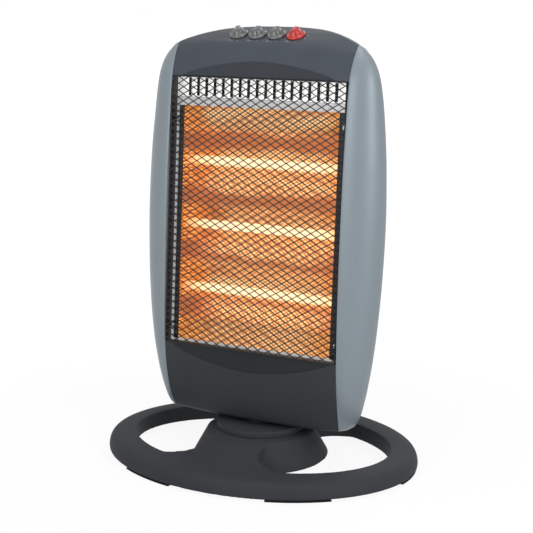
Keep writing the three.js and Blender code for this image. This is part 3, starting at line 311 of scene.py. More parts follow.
# %% Metals
# Painted light on the tray: the glow, the brown painted shade, the white painted highlights behind the
# tubes, and the painted red reflection of the mesh.
TUBE_HEIGHTS, TUBE_PITCH, TUBE_Y = (177.5, 246.5, 315.5), 69.0, -8.0
TRAY_HALF, LIPS = 96.0, (121.5, 374.0)               # the tray's troughs end here, its flange begins
ORANGE, AMBER, MESH_REFLECTION_RED = (0.90, 0.38, 0.09), (1.0, 0.52, 0.16), (0.55, 0.13, 0.02)
BROWN, GLARE, FLANGE_GREY = (0.27, 0.16, 0.11), (1.0, 0.76, 0.40), (0.45, 0.45, 0.45)
GLOW_FADE = (48.0, 88.0)                             # from the middle, where the glow is white-hot
HIGHLIGHT_BAND = (3.0, 12.0)                               # from the height of a tube
HIGHLIGHT_SHIFTS = (-1.0, 45.0)                            # behind the tube, and mirrored above it
BROWN_MIDDLE, BROWN_PITCH, BROWN_BAND = 277.0, 61.0, (4.0, 15.0)
# The cell and line of the mesh's painted reflection on the tray.
MESH_CELL, MESH_LINE = (6.6, 3.9), (0.06, 0.3)


def plated(name, code, roughness=0.32):
    """Zinc-plated sheet with streaks along its rolling direction."""
    finish = Finish(name)
    base = tint(code)
    streaks = finish.streaks((40.0, 900.0, 900.0))
    spangle = finish.noise(160, 2.0)
    finish.set(Base_Color=finish.mix(spangle.rises(0.35, 0.65), shade(base, 0.9), base),
               Metallic=1.0, Roughness=roughness - 0.06 + streaks * 0.14)
    finish.bump(streaks, 0.01)


def enamelled(name, code):
    """Black enamel on steel wire or strip."""
    finish = Finish(name)
    base = tint(code)
    finish.set(Base_Color=finish.mix(finish.noise(300, 2.0), shade(base, 0.8), shade(base, 1.3)),
               Metallic=0.3, Roughness=0.38 + finish.noise(500, 2.0) * 0.15)
    finish.bump(finish.noise(1500, 1.0), 0.02)


def stripes(place, middle, pitch, band):
    """1 on the middle of each stripe, and 0 beyond its band."""
    return 1 - abs((place - middle).repeats(pitch)).rises(*band)


def polished_tray(name):
    """Bright aluminium with the glow of the three tubes painted in, as colour and emission."""
    finish = Finish(name)
    x, y, z = finish.axes(finish.leaning_point())
    warp = finish.noise(26, 3.0) - 0.5
    streaks = finish.streaks((14.0, 170.0, 170.0), 4.0)
    height = z + warp * 16
    lit = 1 - (abs(x) + warp * 50).rises(*GLOW_FADE)
    # Painted shade: brown bands where the tray turns away from the tubes, and brown patches that fade
    # towards the lit middle.
    turned_away = stripes(height, BROWN_MIDDLE, BROWN_PITCH, BROWN_BAND)
    patchy_shade = finish.noise(34, 4.0, rough=0.65).rises(0.52, 0.66) * (1 - lit * 0.7)
    # Painted highlights: white bands behind each tube, and mirrored above it, only where the tray is
    # lit.
    hot, mirrored = (stripes(height, TUBE_HEIGHTS[0] + shift, TUBE_PITCH, HIGHLIGHT_BAND)
                     for shift in HIGHLIGHT_SHIFTS)
    # Painted reflection: the guard's mesh drawn as a lattice of thin red lines on the tray.
    across, up = (x + warp * 5) / MESH_CELL[0], (z + warp * 4) / MESH_CELL[1]
    between = [abs(slant.repeats(1.0)).rises(*MESH_LINE) for slant in (across + up, across - up)]
    flange = z.rises(LIPS[1] - 1, LIPS[1] + 0.5).most(1 - z.rises(LIPS[0] - 0.5, LIPS[0] + 1))
    flange = flange.most(abs(x).rises(TRAY_HALF + 0.2, TRAY_HALF + 1))

    colour = finish.mix(streaks.rises(0.35, 0.65), ORANGE, AMBER)
    colour = finish.mix(lit * 0.65, colour, GLARE)
    colour = finish.mix(turned_away.most(patchy_shade) * 0.9, colour, BROWN)
    colour = finish.mix(hot.most(mirrored) * lit, colour, GLARE)
    colour = finish.mix((1 - between[0] * between[1]) * 0.9, colour, MESH_REFLECTION_RED)
    colour = finish.mix(flange, colour, FLANGE_GREY)
    # Painted glow: the tray gives out its painted colour as emission, though it is no lamp.
    finish.set(Base_Color=finish.mix(0.55, colour, BLACK), Metallic=0.9,
               Roughness=0.22 + streaks * 0.1, Emission_Color=colour, Emission_Strength=0.78)
    finish.bump(streaks, 0.05, 0.5)


def glow_painted_sheet(name):
    """Polished sheet, lighter than its own metal and with a white painted glow: painted light for the
    lamps it faces.
    """
    finish = Finish(name)
    streaks = finish.streaks((900.0, 900.0, 30.0))
    finish.set(Base_Color=finish.mix(streaks, (0.80, 0.80, 0.78), (0.92, 0.92, 0.90)),
               Metallic=0.3, Roughness=0.25 + streaks * 0.1,
               Emission_Color=(1.0, 1.0, 0.97), Emission_Strength=0.45)
    finish.bump(streaks, 0.02)


plated("zinc_plated_steel", "c8cbce")
enamelled("black_enamelled_wire", "16161a")
polished_tray("polished_reflector")
glow_painted_sheet("glow_painted_sheet")
print("plastics, paint and metals:", len(FINISHES))

# %% [markdown]
# A halogen tube is clear quartz round a coiled wire that glows white in the middle of its length
# and orange at its ends. The glass is mostly seen by the light inside it, so it is thin and
# see-through, with a faint warm glow painted on it for the wire's light in the glass.


# %% Glass and glow
QUARTZ_FADE, WIRE_FADE = (60.0, 92.0), (84.0, 97.0)  # from the tube's middle to its cooler ends


def quartz(name):
    """Clear glass, with a painted glow for the light of the wire inside it."""
    finish = Finish(name)
    x, y, z = finish.axes(finish.point())
    ends = abs(x).rises(*QUARTZ_FADE)
    finish.set(Base_Color=(1.0, 0.93, 0.82), Roughness=0.05 + finish.noise(90, 2.0) * 0.04,
               Alpha=0.75 - ends * 0.25, Emission_Strength=0.62,
               Emission_Color=finish.mix(ends, (1.0, 0.70, 0.38), (0.95, 0.34, 0.07)))


def glowing_wire(name):
    """Wire that is white-hot but for its ends."""
    finish = Finish(name)
    x, y, z = finish.axes(finish.point())
    ends = abs(x).rises(*WIRE_FADE)
    finish.set(Base_Color=(0.35, 0.14, 0.06), Roughness=0.4 + finish.noise(800, 1.0) * 0.1,
               Metallic=0.6, Emission_Strength=3.0,
               Emission_Color=finish.mix(ends, (1.0, 0.70, 0.32), (0.25, 0.03, 0.0)))


quartz("quartz_glass")
glowing_wire("heating_wire")

SLOT_OF = {part["node"]: part["material_slot"] for part in frame["record"]["subparts"]}
BODY_OF = {node: body for body, nodes in frame["record"]["behaviour"]["bodies"].items()
           for node in nodes}
for node_name, node_object in frame["nodes"].items():
    node_object.data.materials.clear()
    node_object.data.materials.append(FINISHES[SLOT_OF[node_name]])
print("finishes on the frame's nodes:", len(SLOT_OF))

# %% [markdown]
# The stage is one pale floor that runs out of the picture. Seen by the camera it is white, and
# close to the heater it also takes a soft shadow, so that the heater stands on something. The
# world is white to the camera and in reflections, and dimmer as a light.


# %% Floor and world
FLOOR_SIZE = 16000
FLOOR_WHITENESS, FLOOR_GLOW = 0.82, 1.08
FLOOR_FADE = (260.0, 900.0)                          # where the floor takes on the full whiteness
WORLD_LEVEL = 0.3


def pale_floor(name):
    """A floor that is white to the eye, and keeps a part of its shading near the heater."""
    finish = Finish(name)
    finish.set(Base_Color=finish.mix(finish.noise(3, 2.0), (0.80, 0.80, 0.80), (0.82, 0.82, 0.82)),
               Roughness=0.9)
    x, y, z = finish.axes(finish.point())
    away = ((x * x + y * y) ** 0.5).rises(*FLOOR_FADE)
    whiteness = FLOOR_WHITENESS + away * (1 - FLOOR_WHITENESS)
    glow = finish.node("ShaderNodeEmission", None, (1.0, 1.0, 1.0), FLOOR_GLOW)
    body = Field(finish, finish.shader.outputs[0])
    blend = finish.node("ShaderNodeMixShader", None, finish.seen() * whiteness, body, glow)
    finish.feed(finish.tree.nodes["Material Output"].inputs["Surface"], blend)


pale_floor("pale_floor")
bpy.ops.mesh.primitive_plane_add(size=FLOOR_SIZE * MM, location=(0, 0, 0))
floor = bpy.context.object
floor.name = "floor"
floor.data.materials.append(FINISHES["pale_floor"])

world = bpy.data.worlds.new("studio")
bpy.context.scene.world = world
world.use_nodes = True
sky = Nodes(world.node_tree)
background = sky.tree.nodes["Background"]
sky.feed(background.inputs["Color"], (1.0, 1.0, 1.0))
sky.feed(background.inputs["Strength"], WORLD_LEVEL + sky.seen() * (1 - WORLD_LEVEL))
print("floor and world ready")

# %% [markdown]
# Modelling by operators always begins the same way: clear the selection, make one object
# active, and enter edit mode. These helpers do that, and finish each piece alike, with its place
# in its mesh, its finish, and the frame's body that it rides on.


# %% Workbench helpers
def choose(piece):
    """Makes one object the only selected one, and the active one."""
    bpy.ops.object.select_all(action="DESELECT")
    piece.select_set(True)
    bpy.context.view_layer.objects.active = piece
    return piece


def edit(piece, select="SELECT"):
    """Opens a piece in edit mode with all of it, or none of it, selected."""
    choose(piece)
    bpy.ops.object.mode_set(mode="EDIT")
    bpy.ops.mesh.select_all(action=select)


def close():
    bpy.ops.object.mode_set(mode="OBJECT")


def seal():
    """Fills the open piece's holes, turns its faces outward, and leaves edit mode."""
    bpy.ops.mesh.fill_holes(sides=0)
    bpy.ops.mesh.normals_make_consistent(inside=False)
    close()


def place_in_mesh(piece):
    """Moves the object's place, turn and scale into its mesh."""
    choose(piece)
    bpy.ops.object.transform_apply(location=True, rotation=True, scale=True)
    return piece


def modify(piece, kind, **settings):
    """Adds a modifier and applies it at once."""
    choose(piece)
    modifier = piece.modifiers.new(kind.lower(), kind)
    for setting, value in settings.items():
        setattr(modifier, setting, value)
    bpy.ops.object.modifier_apply(modifier=modifier.name)
    return piece


def combine(piece, other, operation="DIFFERENCE", keep=False):
    """Cuts, joins or crosses a closed piece with another closed one."""
    modify(piece, "BOOLEAN", operation=operation, solver="MANIFOLD", object=other)
    if not keep:
        bpy.data.objects.remove(other)
    return piece


def twin(piece, name):
    """A separate copy with its own mesh."""
    copy = bpy.data.objects.new(name, piece.data.copy())
    bpy.context.scene.collection.objects.link(copy)
    return copy


def join(pieces, name):
    """Makes one piece of several."""
    choose(pieces[0])
    for piece in pieces:
        piece.select_set(True)
    bpy.ops.object.join()
    pieces[0].name = name
    return pieces[0]


def smooth(piece, angle):
    """Smooths the shading, but for edges sharper than an angle in degrees."""
    choose(piece)
    bpy.ops.object.shade_smooth_by_angle(angle=math.radians(angle))
    return piece


def round_edges(piece, width_mm, angle=35):
    """Rounds a piece's sharp edges and smooths the rest of its shading."""
    modify(piece, "BEVEL", width=width_mm * MM, segments=2, limit_method="ANGLE",
           angle_limit=math.radians(angle), use_clamp_overlap=True, miter_outer="MITER_ARC")
    return smooth(piece, angle)


def pick_flat(piece, planes, reach_mm=0.02):
    """Opens a piece with only the faces that lie in the given planes selected.

    Each plane is a point on it and its normal, in the piece's own frame and in millimetres."""
    places = [vertex.co.copy() for vertex in piece.data.vertices]
    # The picked faces are marked for painted shade and a rougher texture in the plastic finish.
    rough_and_painted_shade = piece.data.attributes.get("rough_and_painted_shade") or piece.data.attributes.new("rough_and_painted_shade", "FLOAT", "FACE")
    for face in piece.data.polygons:
        face.select = any(all(abs((places[i] - Vector(point) * MM).dot(normal)) < reach_mm * MM
                              for i in face.vertices) for point, normal in planes)
        rough_and_painted_shade.data[face.index].value = max(rough_and_painted_shade.data[face.index].value, float(face.select))
    bpy.context.tool_settings.mesh_select_mode = (False, False, True)
    choose(piece)
    bpy.ops.object.mode_set(mode="EDIT")
    print(piece.name, "flat faces:", piece.data.total_face_sel)


def step_flat(piece, planes, rise_mm, width_mm=0.8):
    """Raises or sinks flat faces by a small step with crisp edges."""
    pick_flat(piece, planes)
    bpy.ops.mesh.region_to_loop()
    bpy.ops.mesh.mark_sharp()
    close()
    pick_flat(piece, planes)
    bpy.ops.mesh.inset(thickness=width_mm * MM, depth=rise_mm * MM)
    bpy.ops.mesh.region_to_loop()
    bpy.ops.mesh.mark_sharp()
    bpy.ops.mesh.select_mode(type="VERT")
    close()
    return piece


def settle(piece, *nodes, body=None, slot=None, lean=False, finish=None):
    """Gives a finished piece its place, finish and body, and hides the frame's nodes that it stands
    for.

    Its finish is the one with its slot's name, unless another is named."""
    if lean:
        piece.rotation_euler.x = -LEAN
    place_in_mesh(piece)
    slot = slot or SLOT_OF[nodes[0]]
    piece.data.materials.clear()
    piece.data.materials.append(FINISHES[finish or slot])
    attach(piece, body or BODY_OF[nodes[0]])
    if nodes:
        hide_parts(*nodes)
    print(piece.name, len(piece.data.polygons), "faces")
    return piece


# %% [markdown]
# Three ways of making a blank cover almost the whole heater: a slab between two corners, a flat
# outline pulled out to a prism, and a grid rolled into a tube whose points follow a formula.


# %% Blanks
SAME_PLACE = 0.01                     # points closer than this are one


def slab(low, high, name="slab"):
    """A box between two corners, in millimetres."""
    low, high = Vector(low), Vector(high)
    bpy.ops.mesh.primitive_cube_add(size=1, location=(low + high) / 2 * MM)
    box = bpy.context.object
    box.name = name
    box.scale = (high - low) * MM
    return place_in_mesh(box)


def prism(outline, low, high, axis="Z", name="prism"):
    """A closed outline of pairs, in millimetres, pulled from low to high along an axis.

    The pairs are X, Y for axis Z, X, Z for axis Y, and Y, Z for axis X."""
    lift = {"Z": lambda a, b: (a, b, low), "Y": lambda a, b: (a, low, b), "X": lambda a, b: (low, a, b)}
    way = {"Z": (0, 0, 1), "Y": (0, 1, 0), "X": (1, 0, 0)}[axis]
    mesh = bpy.data.meshes.new(name)
    mesh.from_pydata([Vector(lift[axis](a, b)) * MM for a, b in outline], [], [range(len(outline))])
    piece = bpy.data.objects.new(name, mesh)
    bpy.context.scene.collection.objects.link(piece)
    edit(piece)
    step = Vector(way) * (high - low) * MM
    bpy.ops.mesh.extrude_region_move(TRANSFORM_OT_translate={"value": step})
    bpy.ops.mesh.select_all(action="SELECT")
    bpy.ops.mesh.normals_make_consistent(inside=False)
    close()
    return piece


def rolled(name, columns, rows, place_at):
    """A grid rolled into a closed tube; place_at(u, v) gives each point in millimetres."""
    bpy.ops.mesh.primitive_grid_add(x_subdivisions=columns, y_subdivisions=rows, size=1)
    piece = bpy.context.object
    piece.name = name
    for vertex in piece.data.vertices:
        u = round((vertex.co.x + 0.5) * columns)
        v = round((vertex.co.y + 0.5) * rows)
        vertex.co = Vector(place_at(u % columns, v)) * MM
    edit(piece)
    bpy.ops.mesh.remove_doubles(threshold=SAME_PLACE * MM)
    seal()
    return piece


def rod(radius, start, end, sides=32, name="rod"):
    """A round bar between two points."""
    start, end = Vector(start), Vector(end)
    middle, length = (start + end) / 2 * MM, (end - start).length * MM
    bpy.ops.mesh.primitive_cylinder_add(vertices=sides, radius=radius * MM, depth=length,
                                        location=middle)
    piece = bpy.context.object
    piece.name = name
    piece.rotation_euler = (end - start).to_track_quat("Z", "Y").to_euler()
    return place_in_mesh(piece)


def refined(node, width_mm, join_flats=True):
    """A copy of a frame solid with its flats joined and its edges rounded.

    A plate with many holes keeps its triangles, because one face can't go round them all."""
    piece = twin(frame["nodes"][node], node + "_fitting")
    edit(piece)
    bpy.ops.mesh.customdata_custom_splitnormals_clear()
    bpy.ops.mesh.remove_doubles(threshold=SAME_PLACE * MM)
    if join_flats:
        bpy.ops.mesh.dissolve_limited(angle_limit=math.radians(0.5))
    close()
    return round_edges(piece, width_mm, angle=30)


print("workbench ready")

# %% [markdown]
# The head's casing is one swelling form cut into four parts, so it is lofted once and then
# divided. Each station up the head gives the height, how much wider the front is than at mid
# height, the front face, its crown, the side's bulge and depth, and the rear face. Between the
# stations each of these follows a smooth curve that never swings past its points.

# %% Head form
FRONT_HALF_WIDTH = 102.6
STATIONS = [
    (36.5, -72.6, 2, 2, 3, 3, 30),
    (38.5, -40.6, -6, 5, 4, 6, 36),
    (41.5, -16.6, -12, 8, 5, 8, 39),
    (44.6, -3.1, -17, 9, 6, 11, 42),
    (48, -2.3, -19.5, 8.6, 10.5, 17, 45),
    (55, -1.6, -23, 8, 14, 22, 49),
    (70, -0.8, -28.5, 6, 18, 26.5, 54),
    (90, -0.2, -33.8, 3.5, 22, 30, 58),
    (118, 0, -38, 2.7, 27, 31.5, 60),
    (160, 0, -40.8, 3, 32, 32, 61.5),
    (210, 0, -42.2, 3, 35.3, 32, 62),
    (262, 0, -42.6, 3, 36.5, 31.3, 62),
    (315, 0.1, -42, 3, 35, 29.5, 62),
    (365, 0.2, -40, 4, 31.2, 26, 61),
    (405, 0.4, -37.2, 4.8, 26, 20.5, 58),
    (420, 0.8, -33.2, 5.5, 21, 15.5, 55.5),
    (430, 1.3, -29, 7.5, 14.5, 11, 53),
    (438, 1.8, -24, 9.5, 6.5, 6, 50),
    (442, -2.6, -20.8, 10, 3.4, 4, 48),
    (446, -11.6, -16.5, 9.5, 3.2, 4, 45.5),
    (450, -22.6, -11.5, 8.5, 2.9, 4, 42),
    (454, -37.6, -5.5, 7, 2.8, 4, 38),
    (457, -54.6, 0.5, 5, 2.3, 3, 33),
    (459, -80.6, 7, 2, 2.3, 3, 26),
]
HEIGHTS = [station[0] for station in STATIONS]
LOW_END, HIGH_END = 44.6, 446.0       # the dished bottom and the arched top begin here
OPENING = (118.0, 405.0)
DECK_FRONT = (-28.1, 441.3)


def smooth_curve(places, values):
    """A curve through points that never swings past them."""
    places, values = np.array(places, float), np.array(values, float)
    steps = np.diff(places)
    slopes = np.diff(values) / steps
    tangents = np.concatenate([slopes[:1], np.zeros(len(slopes) - 1), slopes[-1:]])
    for i in range(1, len(slopes)):
        if slopes[i - 1] * slopes[i] > 0:
            near, far = 2 * steps[i] + steps[i - 1], steps[i] + 2 * steps[i - 1]
            tangents[i] = (near + far) / (near / slopes[i - 1] + far / slopes[i])

    def at(place_asked):
        i = int(np.clip(np.searchsorted(places, place_asked) - 1, 0, len(steps) - 1))
        t = (place_asked - places[i]) / steps[i]
        ease = t * t * (3 - 2 * t)
        swing = t * (1 - t) * ((1 - t) * tangents[i] - t * tangents[i + 1]) * steps[i]
        return float(values[i] + ease * (values[i + 1] - values[i]) + swing)

    return at


CURVES = [smooth_curve(HEIGHTS, [station[k] for station in STATIONS]) for k in range(1, 7)]


def station_at(height):
    """The front's half-width, its face and crown, the bulge and its depth, and the rear face."""
    widening, front, crown, bulge, depth, rear = (curve(height) for curve in CURVES)
    return FRONT_HALF_WIDTH + widening, front, crown, bulge, depth, rear


FRONT_STEPS, SIDE_STEPS, REAR_STEPS = 10, 14, 12
REAR_SLOPE, REAR_FLAT, REAR_DRAW = 0.538, 0.82, 0.2
LEAST_BULGE = 0.4


def ease(share):
    share = min(1.0, max(0.0, share))
    return share * share * (3 - 2 * share)


def half_ring(height, wall):
    """Half of a level outline, from the front's middle round to the rear's middle."""
    half_width, front, crown, bulge, depth, rear = station_at(height)
    half_width -= max(0, wall - bulge + LEAST_BULGE)
    front, rear = front + wall, rear - wall
    bulge, depth = max(bulge - wall, LEAST_BULGE), max(depth - wall, LEAST_BULGE)
    points = []
    for i in range(FRONT_STEPS):
        x = half_width * i / FRONT_STEPS
        points.append((x, front - crown * (1 - (x / half_width) ** 2)))
    for i in range(SIDE_STEPS + 1):
        angle = i / SIDE_STEPS * math.pi / 2
        points.append((half_width + bulge * math.sin(angle), front + depth * (1 - math.cos(angle))))
    widest, start = half_width + bulge, front + depth
    drawn = REAR_DRAW * ease((height - OPENING[1]) / (DECK_FRONT[1] - OPENING[1]))
    flat = (REAR_FLAT - drawn) * half_width
    turn = max(flat, widest - REAR_SLOPE * (rear - start))
    for i in range(1, REAR_STEPS + 1):
        t = i / REAR_STEPS
        p, q, r = (1 - t) ** 2, 2 * t * (1 - t), t * t
        points.append((p * widest + q * turn + r * flat, p * start + q * rear + r * rear))
    return points + [(0, rear)]


def levels(step=4.0):
    """Heights for the loft's rings: every station, and evenly between them."""
    heights = [HEIGHTS[0]]
    for low, high in zip(HEIGHTS, HEIGHTS[1:]):
        parts = max(2, round((high - low) / step))
        heights += [low + (high - low) * (i + 1) / parts for i in range(parts)]
    return heights


def head_loft(wall, name):
    """The head's whole form, drawn in by a wall, before the deck is cut."""
    rings = []
    for height in levels():
        half = half_ring(height, wall)
        ring = half + [(-x, y) for x, y in half[-2:0:-1]]
        rise = wall * (1 - ease((height - LOW_END) / 10)) - wall * ease((height - HIGH_END + 8) / 8)
        rings.append([(x, y, height + rise) for x, y in ring])
    return rolled(name, len(rings[0]), len(rings) - 1, lambda u, v: rings[v][u])


print("head rings:", len(levels()), "of", 2 * len(half_ring(262, 0)) - 2, "points")

# %% [markdown]
# The control deck and the scoop below it are two planes that meet at the deck's front edge, and
# a flat band crosses the front above and below the mesh. Cutting them from the swelling form
# gives the arcs on the head's brow for free, because that is how the real mould's shape arises.
# The form is cut twice, once for the outside and once for the hollow inside its wall.

# %% Casing blanks
REACH = 700.0                         # further than the heater reaches
GAP = 0.3                             # between neighbouring pieces
SKIN = 2.5                            # wall of the casing
FACET_Y = -38.3
DECK_TILT = math.radians(28.5)
SCOOP_LEAN = math.radians(28.8)
SEAM_REAR_Y = 36.0
RETURN_DEPTH = 14.0


def head_form(wall, name):
    """The head's outside, or with a wall the hollow inside it."""
    form = head_loft(wall, name)
    for angle in (DECK_TILT, math.pi / 2 - SCOOP_LEAN):
        normal = Vector((0, -math.sin(angle), math.cos(angle)))
        edit(form)
        bpy.ops.mesh.bisect(plane_co=(Vector((0, *DECK_FRONT)) - normal * wall) * MM,
                            plane_no=normal, use_fill=True, clear_outer=True)
        close()
    half = station_at(OPENING[1])[0]
    return combine(form, slab((-half, -REACH, -REACH), (half, FACET_Y + wall, REACH)))


def front_line(offset, depth_too=False):
    """The front face in the side view, moved back; with the bulge's depth it is the widest line."""
    line = []
    for height in levels(8.0):
        _, front, _, _, depth, _ = station_at(height)
        line.append((front + offset + (depth if depth_too else 0), height))
    return [(line[0][0], -REACH), *line, (line[-1][0], REACH)]


def middle_block(margin):
    """A block as wide as the front face between the two side seams."""
    inner = [height for height in levels(8.0) if HEIGHTS[3] <= height <= HEIGHTS[17]]
    right = [(station_at(height)[0] + margin, height) for height in inner]
    right = [(right[0][0], -REACH), *right, (right[-1][0], REACH)]
    return prism(right + [(-x, z) for x, z in reversed(right)], -REACH, REACH, "Y", "middle")


def behind_block(margin):
    """All that lies behind the line where the head is widest."""
    outline = front_line(margin, True) + [(REACH, REACH), (REACH, -REACH)]
    return prism(outline, -REACH, REACH, "X", "behind")


def band_block(low, high, y_high=REACH):
    """All that lies between two heights, and before a depth."""
    return slab((-REACH, -REACH, low), (REACH, y_high, high))


FACET = [((0, FACET_Y, 0), Vector((0, 1, 0)))]
BROW = [((0, *DECK_FRONT), Vector((0, -math.sin(angle), math.cos(angle))))
        for angle in (DECK_TILT, math.pi / 2 - SCOOP_LEAN)]
BROW_STEP, FACET_STEP = -1.0, 0.5
outside = head_form(0, "outside")
inside = head_form(SKIN, "inside")
print("casing blanks:", len(outside.data.polygons), "and", len(inside.data.polygons), "faces")

# %% [markdown]
# The upper and lower housings are the middle of the head above and below the opening, each
# closed by a shelf along the opening's edge. The side panels are what lies outside the two front
# seams, with an edge turned in beside the mesh, and the rear cover takes the rest. Each blank is
# crossed with blocks, hollowed, and its seams get the small radius that catches the light. The
# brow and the flat band stand a little off the swelling form, so that their arcs show as lines.

# %% Upper and lower housings
SEAM_RADIUS = 0.55
KNOB_COUNT, KNOB_PITCH, KNOB_ROW_X, KNOB_UP_DECK = 4, 22.3, -3.0, 16.0
SHAFT_HOLE = 3.1
POST_HOLE = 14.3


def knob_places():
    """Where each knob's axis meets the deck, in the head's own frame."""
    y = DECK_FRONT[0] + KNOB_UP_DECK * math.cos(DECK_TILT)
    z = DECK_FRONT[1] + KNOB_UP_DECK * math.sin(DECK_TILT)
    steps = [i - (KNOB_COUNT - 1) / 2 for i in range(KNOB_COUNT)]
    return [Vector((KNOB_ROW_X + step * KNOB_PITCH, y, z)) for step in steps]


def housing(low, high, hollow_low, hollow_high, name):
    """The middle of the head between two heights, hollowed to its shelf."""
    piece = combine(twin(outside, name), middle_block(-GAP / 2), "INTERSECT")
    combine(piece, band_block(low, high, SEAM_REAR_Y), "INTERSECT")
    hollow = combine(twin(inside, "hollow"), band_block(hollow_low, hollow_high), "INTERSECT")
    return combine(piece, hollow)


upper = housing(OPENING[1], REACH, OPENING[1] + SKIN, REACH, "upper_casing")
deck_up = Vector((0, -math.sin(DECK_TILT), math.cos(DECK_TILT)))
for spot in knob_places():
    combine(upper, rod(SHAFT_HOLE, spot - deck_up * 8, spot + deck_up * 8))
round_edges(upper, SEAM_RADIUS)
step_flat(upper, BROW, BROW_STEP)
step_flat(upper, FACET, FACET_STEP)
settle(upper, "upper_housing", lean=True)

lower = housing(-REACH, OPENING[0], -REACH, OPENING[0] - SKIN, "lower_casing")
axis_up = Vector((0, -math.sin(LEAN), math.cos(LEAN)))
combine(lower, rod(POST_HOLE, -axis_up * 100, axis_up * 100, 48))
round_edges(lower, SEAM_RADIUS)
step_flat(lower, FACET, FACET_STEP)
settle(lower, "lower_housing", lean=True)

# %% Side panels
turned_in = combine(prism(front_line(RETURN_DEPTH) + [(-REACH, REACH), (-REACH, -REACH)],
                          -REACH, REACH, "X", "turned_in"), middle_block(SKIN), "INTERSECT")
panel_hollow = combine(twin(inside, "panel_hollow"), turned_in)
for side, node_name in ((-1, "side_panel_left"), (1, "side_panel_right")):
    panel = combine(twin(outside, node_name + "_painted"), middle_block(GAP / 2))
    combine(panel, behind_block(-GAP / 2))
    half_space = sorted((0, side * REACH))
    combine(panel, slab((half_space[0], -REACH, -REACH), (half_space[1], REACH, REACH)), "INTERSECT")
    combine(panel, panel_hollow, keep=True)
    round_edges(panel, SEAM_RADIUS)
    settle(panel, node_name, lean=True)
bpy.data.objects.remove(panel_hollow)

# %% [markdown]
# The rear cover is never in the picture from the front, but the heater is seen from all sides.
# It draws in behind the panels to a flat back with two rows of level louvres, through which the
# heat leaves. Each louvre has a slat that slopes down and out, so that nobody sees in. There are
# also four screws in wells, and the gland that the mains lead would pass.

# %% Rear cover
LOUVRE_COUNT, LOUVRE_PITCH, LOUVRE_HEIGHT, LOUVRE_HALF_LENGTH = 8, 9.0, 3.6, 60.0
LOUVRE_ROWS = (392.0, 168.0)
SLAT_OUT = 0.6                        # a slat stands out this far
REAR_SCREW_X, REAR_SCREW_HOLE = 58.0, 1.8
REAR_SCREW_HEIGHTS = (111.5, 411.5)
GLAND = (40.0, 78.0)
GLAND_HOLE = 7.3

cover = combine(twin(outside, "rear_casing"), behind_block(GAP / 2), "INTERSECT")
combine(cover, inside, keep=True)
for low, high in ((-REACH, OPENING[0] + GAP), (OPENING[1] - GAP, REACH)):
    ends = combine(band_block(low, high, SEAM_REAR_Y + GAP), middle_block(GAP / 2), "INTERSECT")
    combine(cover, ends)
for row in LOUVRE_ROWS:
    for i in range(LOUVRE_COUNT):
        height = row - i * LOUVRE_PITCH
        bottom, top = height - LOUVRE_HEIGHT / 2, height + LOUVRE_HEIGHT / 2
        combine(cover, slab((-LOUVRE_HALF_LENGTH, SEAM_REAR_Y + SKIN, bottom),
                            (LOUVRE_HALF_LENGTH, REACH, top)))
        rear = station_at(height)[5]
        inner, outer = rear - SKIN, rear + SLAT_OUT
        slat = [(inner, top + 0.4), (outer, bottom + 0.4), (outer, bottom - 0.7), (inner, top - 0.8)]
        combine(cover, prism(slat, -LOUVRE_HALF_LENGTH - 1, LOUVRE_HALF_LENGTH + 1, "X"), "UNION")
for height in REAR_SCREW_HEIGHTS:
    for x in (-REAR_SCREW_X, REAR_SCREW_X):
        combine(cover, rod(REAR_SCREW_HOLE, (x, 0, height), (x, REACH, height), 16))
combine(cover, rod(GLAND_HOLE, (GLAND[0], 40, GLAND[1]), (GLAND[0], 90, GLAND[1])))
round_edges(cover, SEAM_RADIUS)
settle(cover, "rear_cover", lean=True)
bpy.data.objects.remove(outside)
bpy.data.objects.remove(inside)

# %% [markdown]
# The head stands on a round collar, hollowed on top to the head's own dished bottom. The cut is
# made with the same loft, grown a little and leaned, so that the gap between the two is even.

# %% Swivel collar
COLLAR_RADIUS, COLLAR_TOP, HUB_HEIGHT = 47.5, 40.0, 33.0

collar = rod(COLLAR_RADIUS, (0, 0, HUB_HEIGHT + GAP), (0, 0, COLLAR_TOP), 96, "turning_collar")
combine(collar, rod(POST_HOLE, (0, 0, 0), (0, 0, 60), 48))
clearance = head_loft(-GAP, "clearance")
clearance.rotation_euler.x = -LEAN
combine(collar, place_in_mesh(clearance))
round_edges(collar, 0.8)
settle(collar, "swivel_collar")

# %% [markdown]
# The base is one oval dish that rises to a round hub. Two windows are cut through it, which run
# along the ring outside, bend in at the waist of each bridge, and follow the hub round inside.
# A real moulding has no sharp edge where the windows meet the top, and a bevel would trip over
# the places where cone, dish and window cross. So the solid form is remeshed and relaxed, which
# rounds every edge alike, and only then is its hollow cut from below.

# %% Base form
BASE_HALF = (175.0, 136.0)
RIM_HEIGHT, RIM_SIDE, RIM_FRONT = 20.0, 29.0, 35.0
WAIST_HALF, WAIST_Y, NECK_Y, NECK_ANGLE = 33.0, 57.0, 49.0, math.radians(47)
CORNER_X, CORNER_Y = 68.0, 82.0
HUB_TOP, HUB_SHOULDER, HUB_FOOT, SHOULDER_HEIGHT = 48.0, 58.0, 74.0, 30.5
FOOT_HEIGHT, BASE_WALL = 2.0, 3.0
HUB_TAPER = (HUB_FOOT - HUB_SHOULDER) / (SHOULDER_HEIGHT - FOOT_HEIGHT)
DISH_RINGS, DISH_SIDES, DISH_REACH, HUB_SIDES = 44, 144, 110, 120
DISH = [(0, 33), (0.12, 30.7), (0.3, 25.9), (0.5, 21.8), (0.68, 20), (0.84, 19.9), (0.92, 19),
        (0.965, 16.8), (0.99, 12.4), (1, 7), (1, 2)]


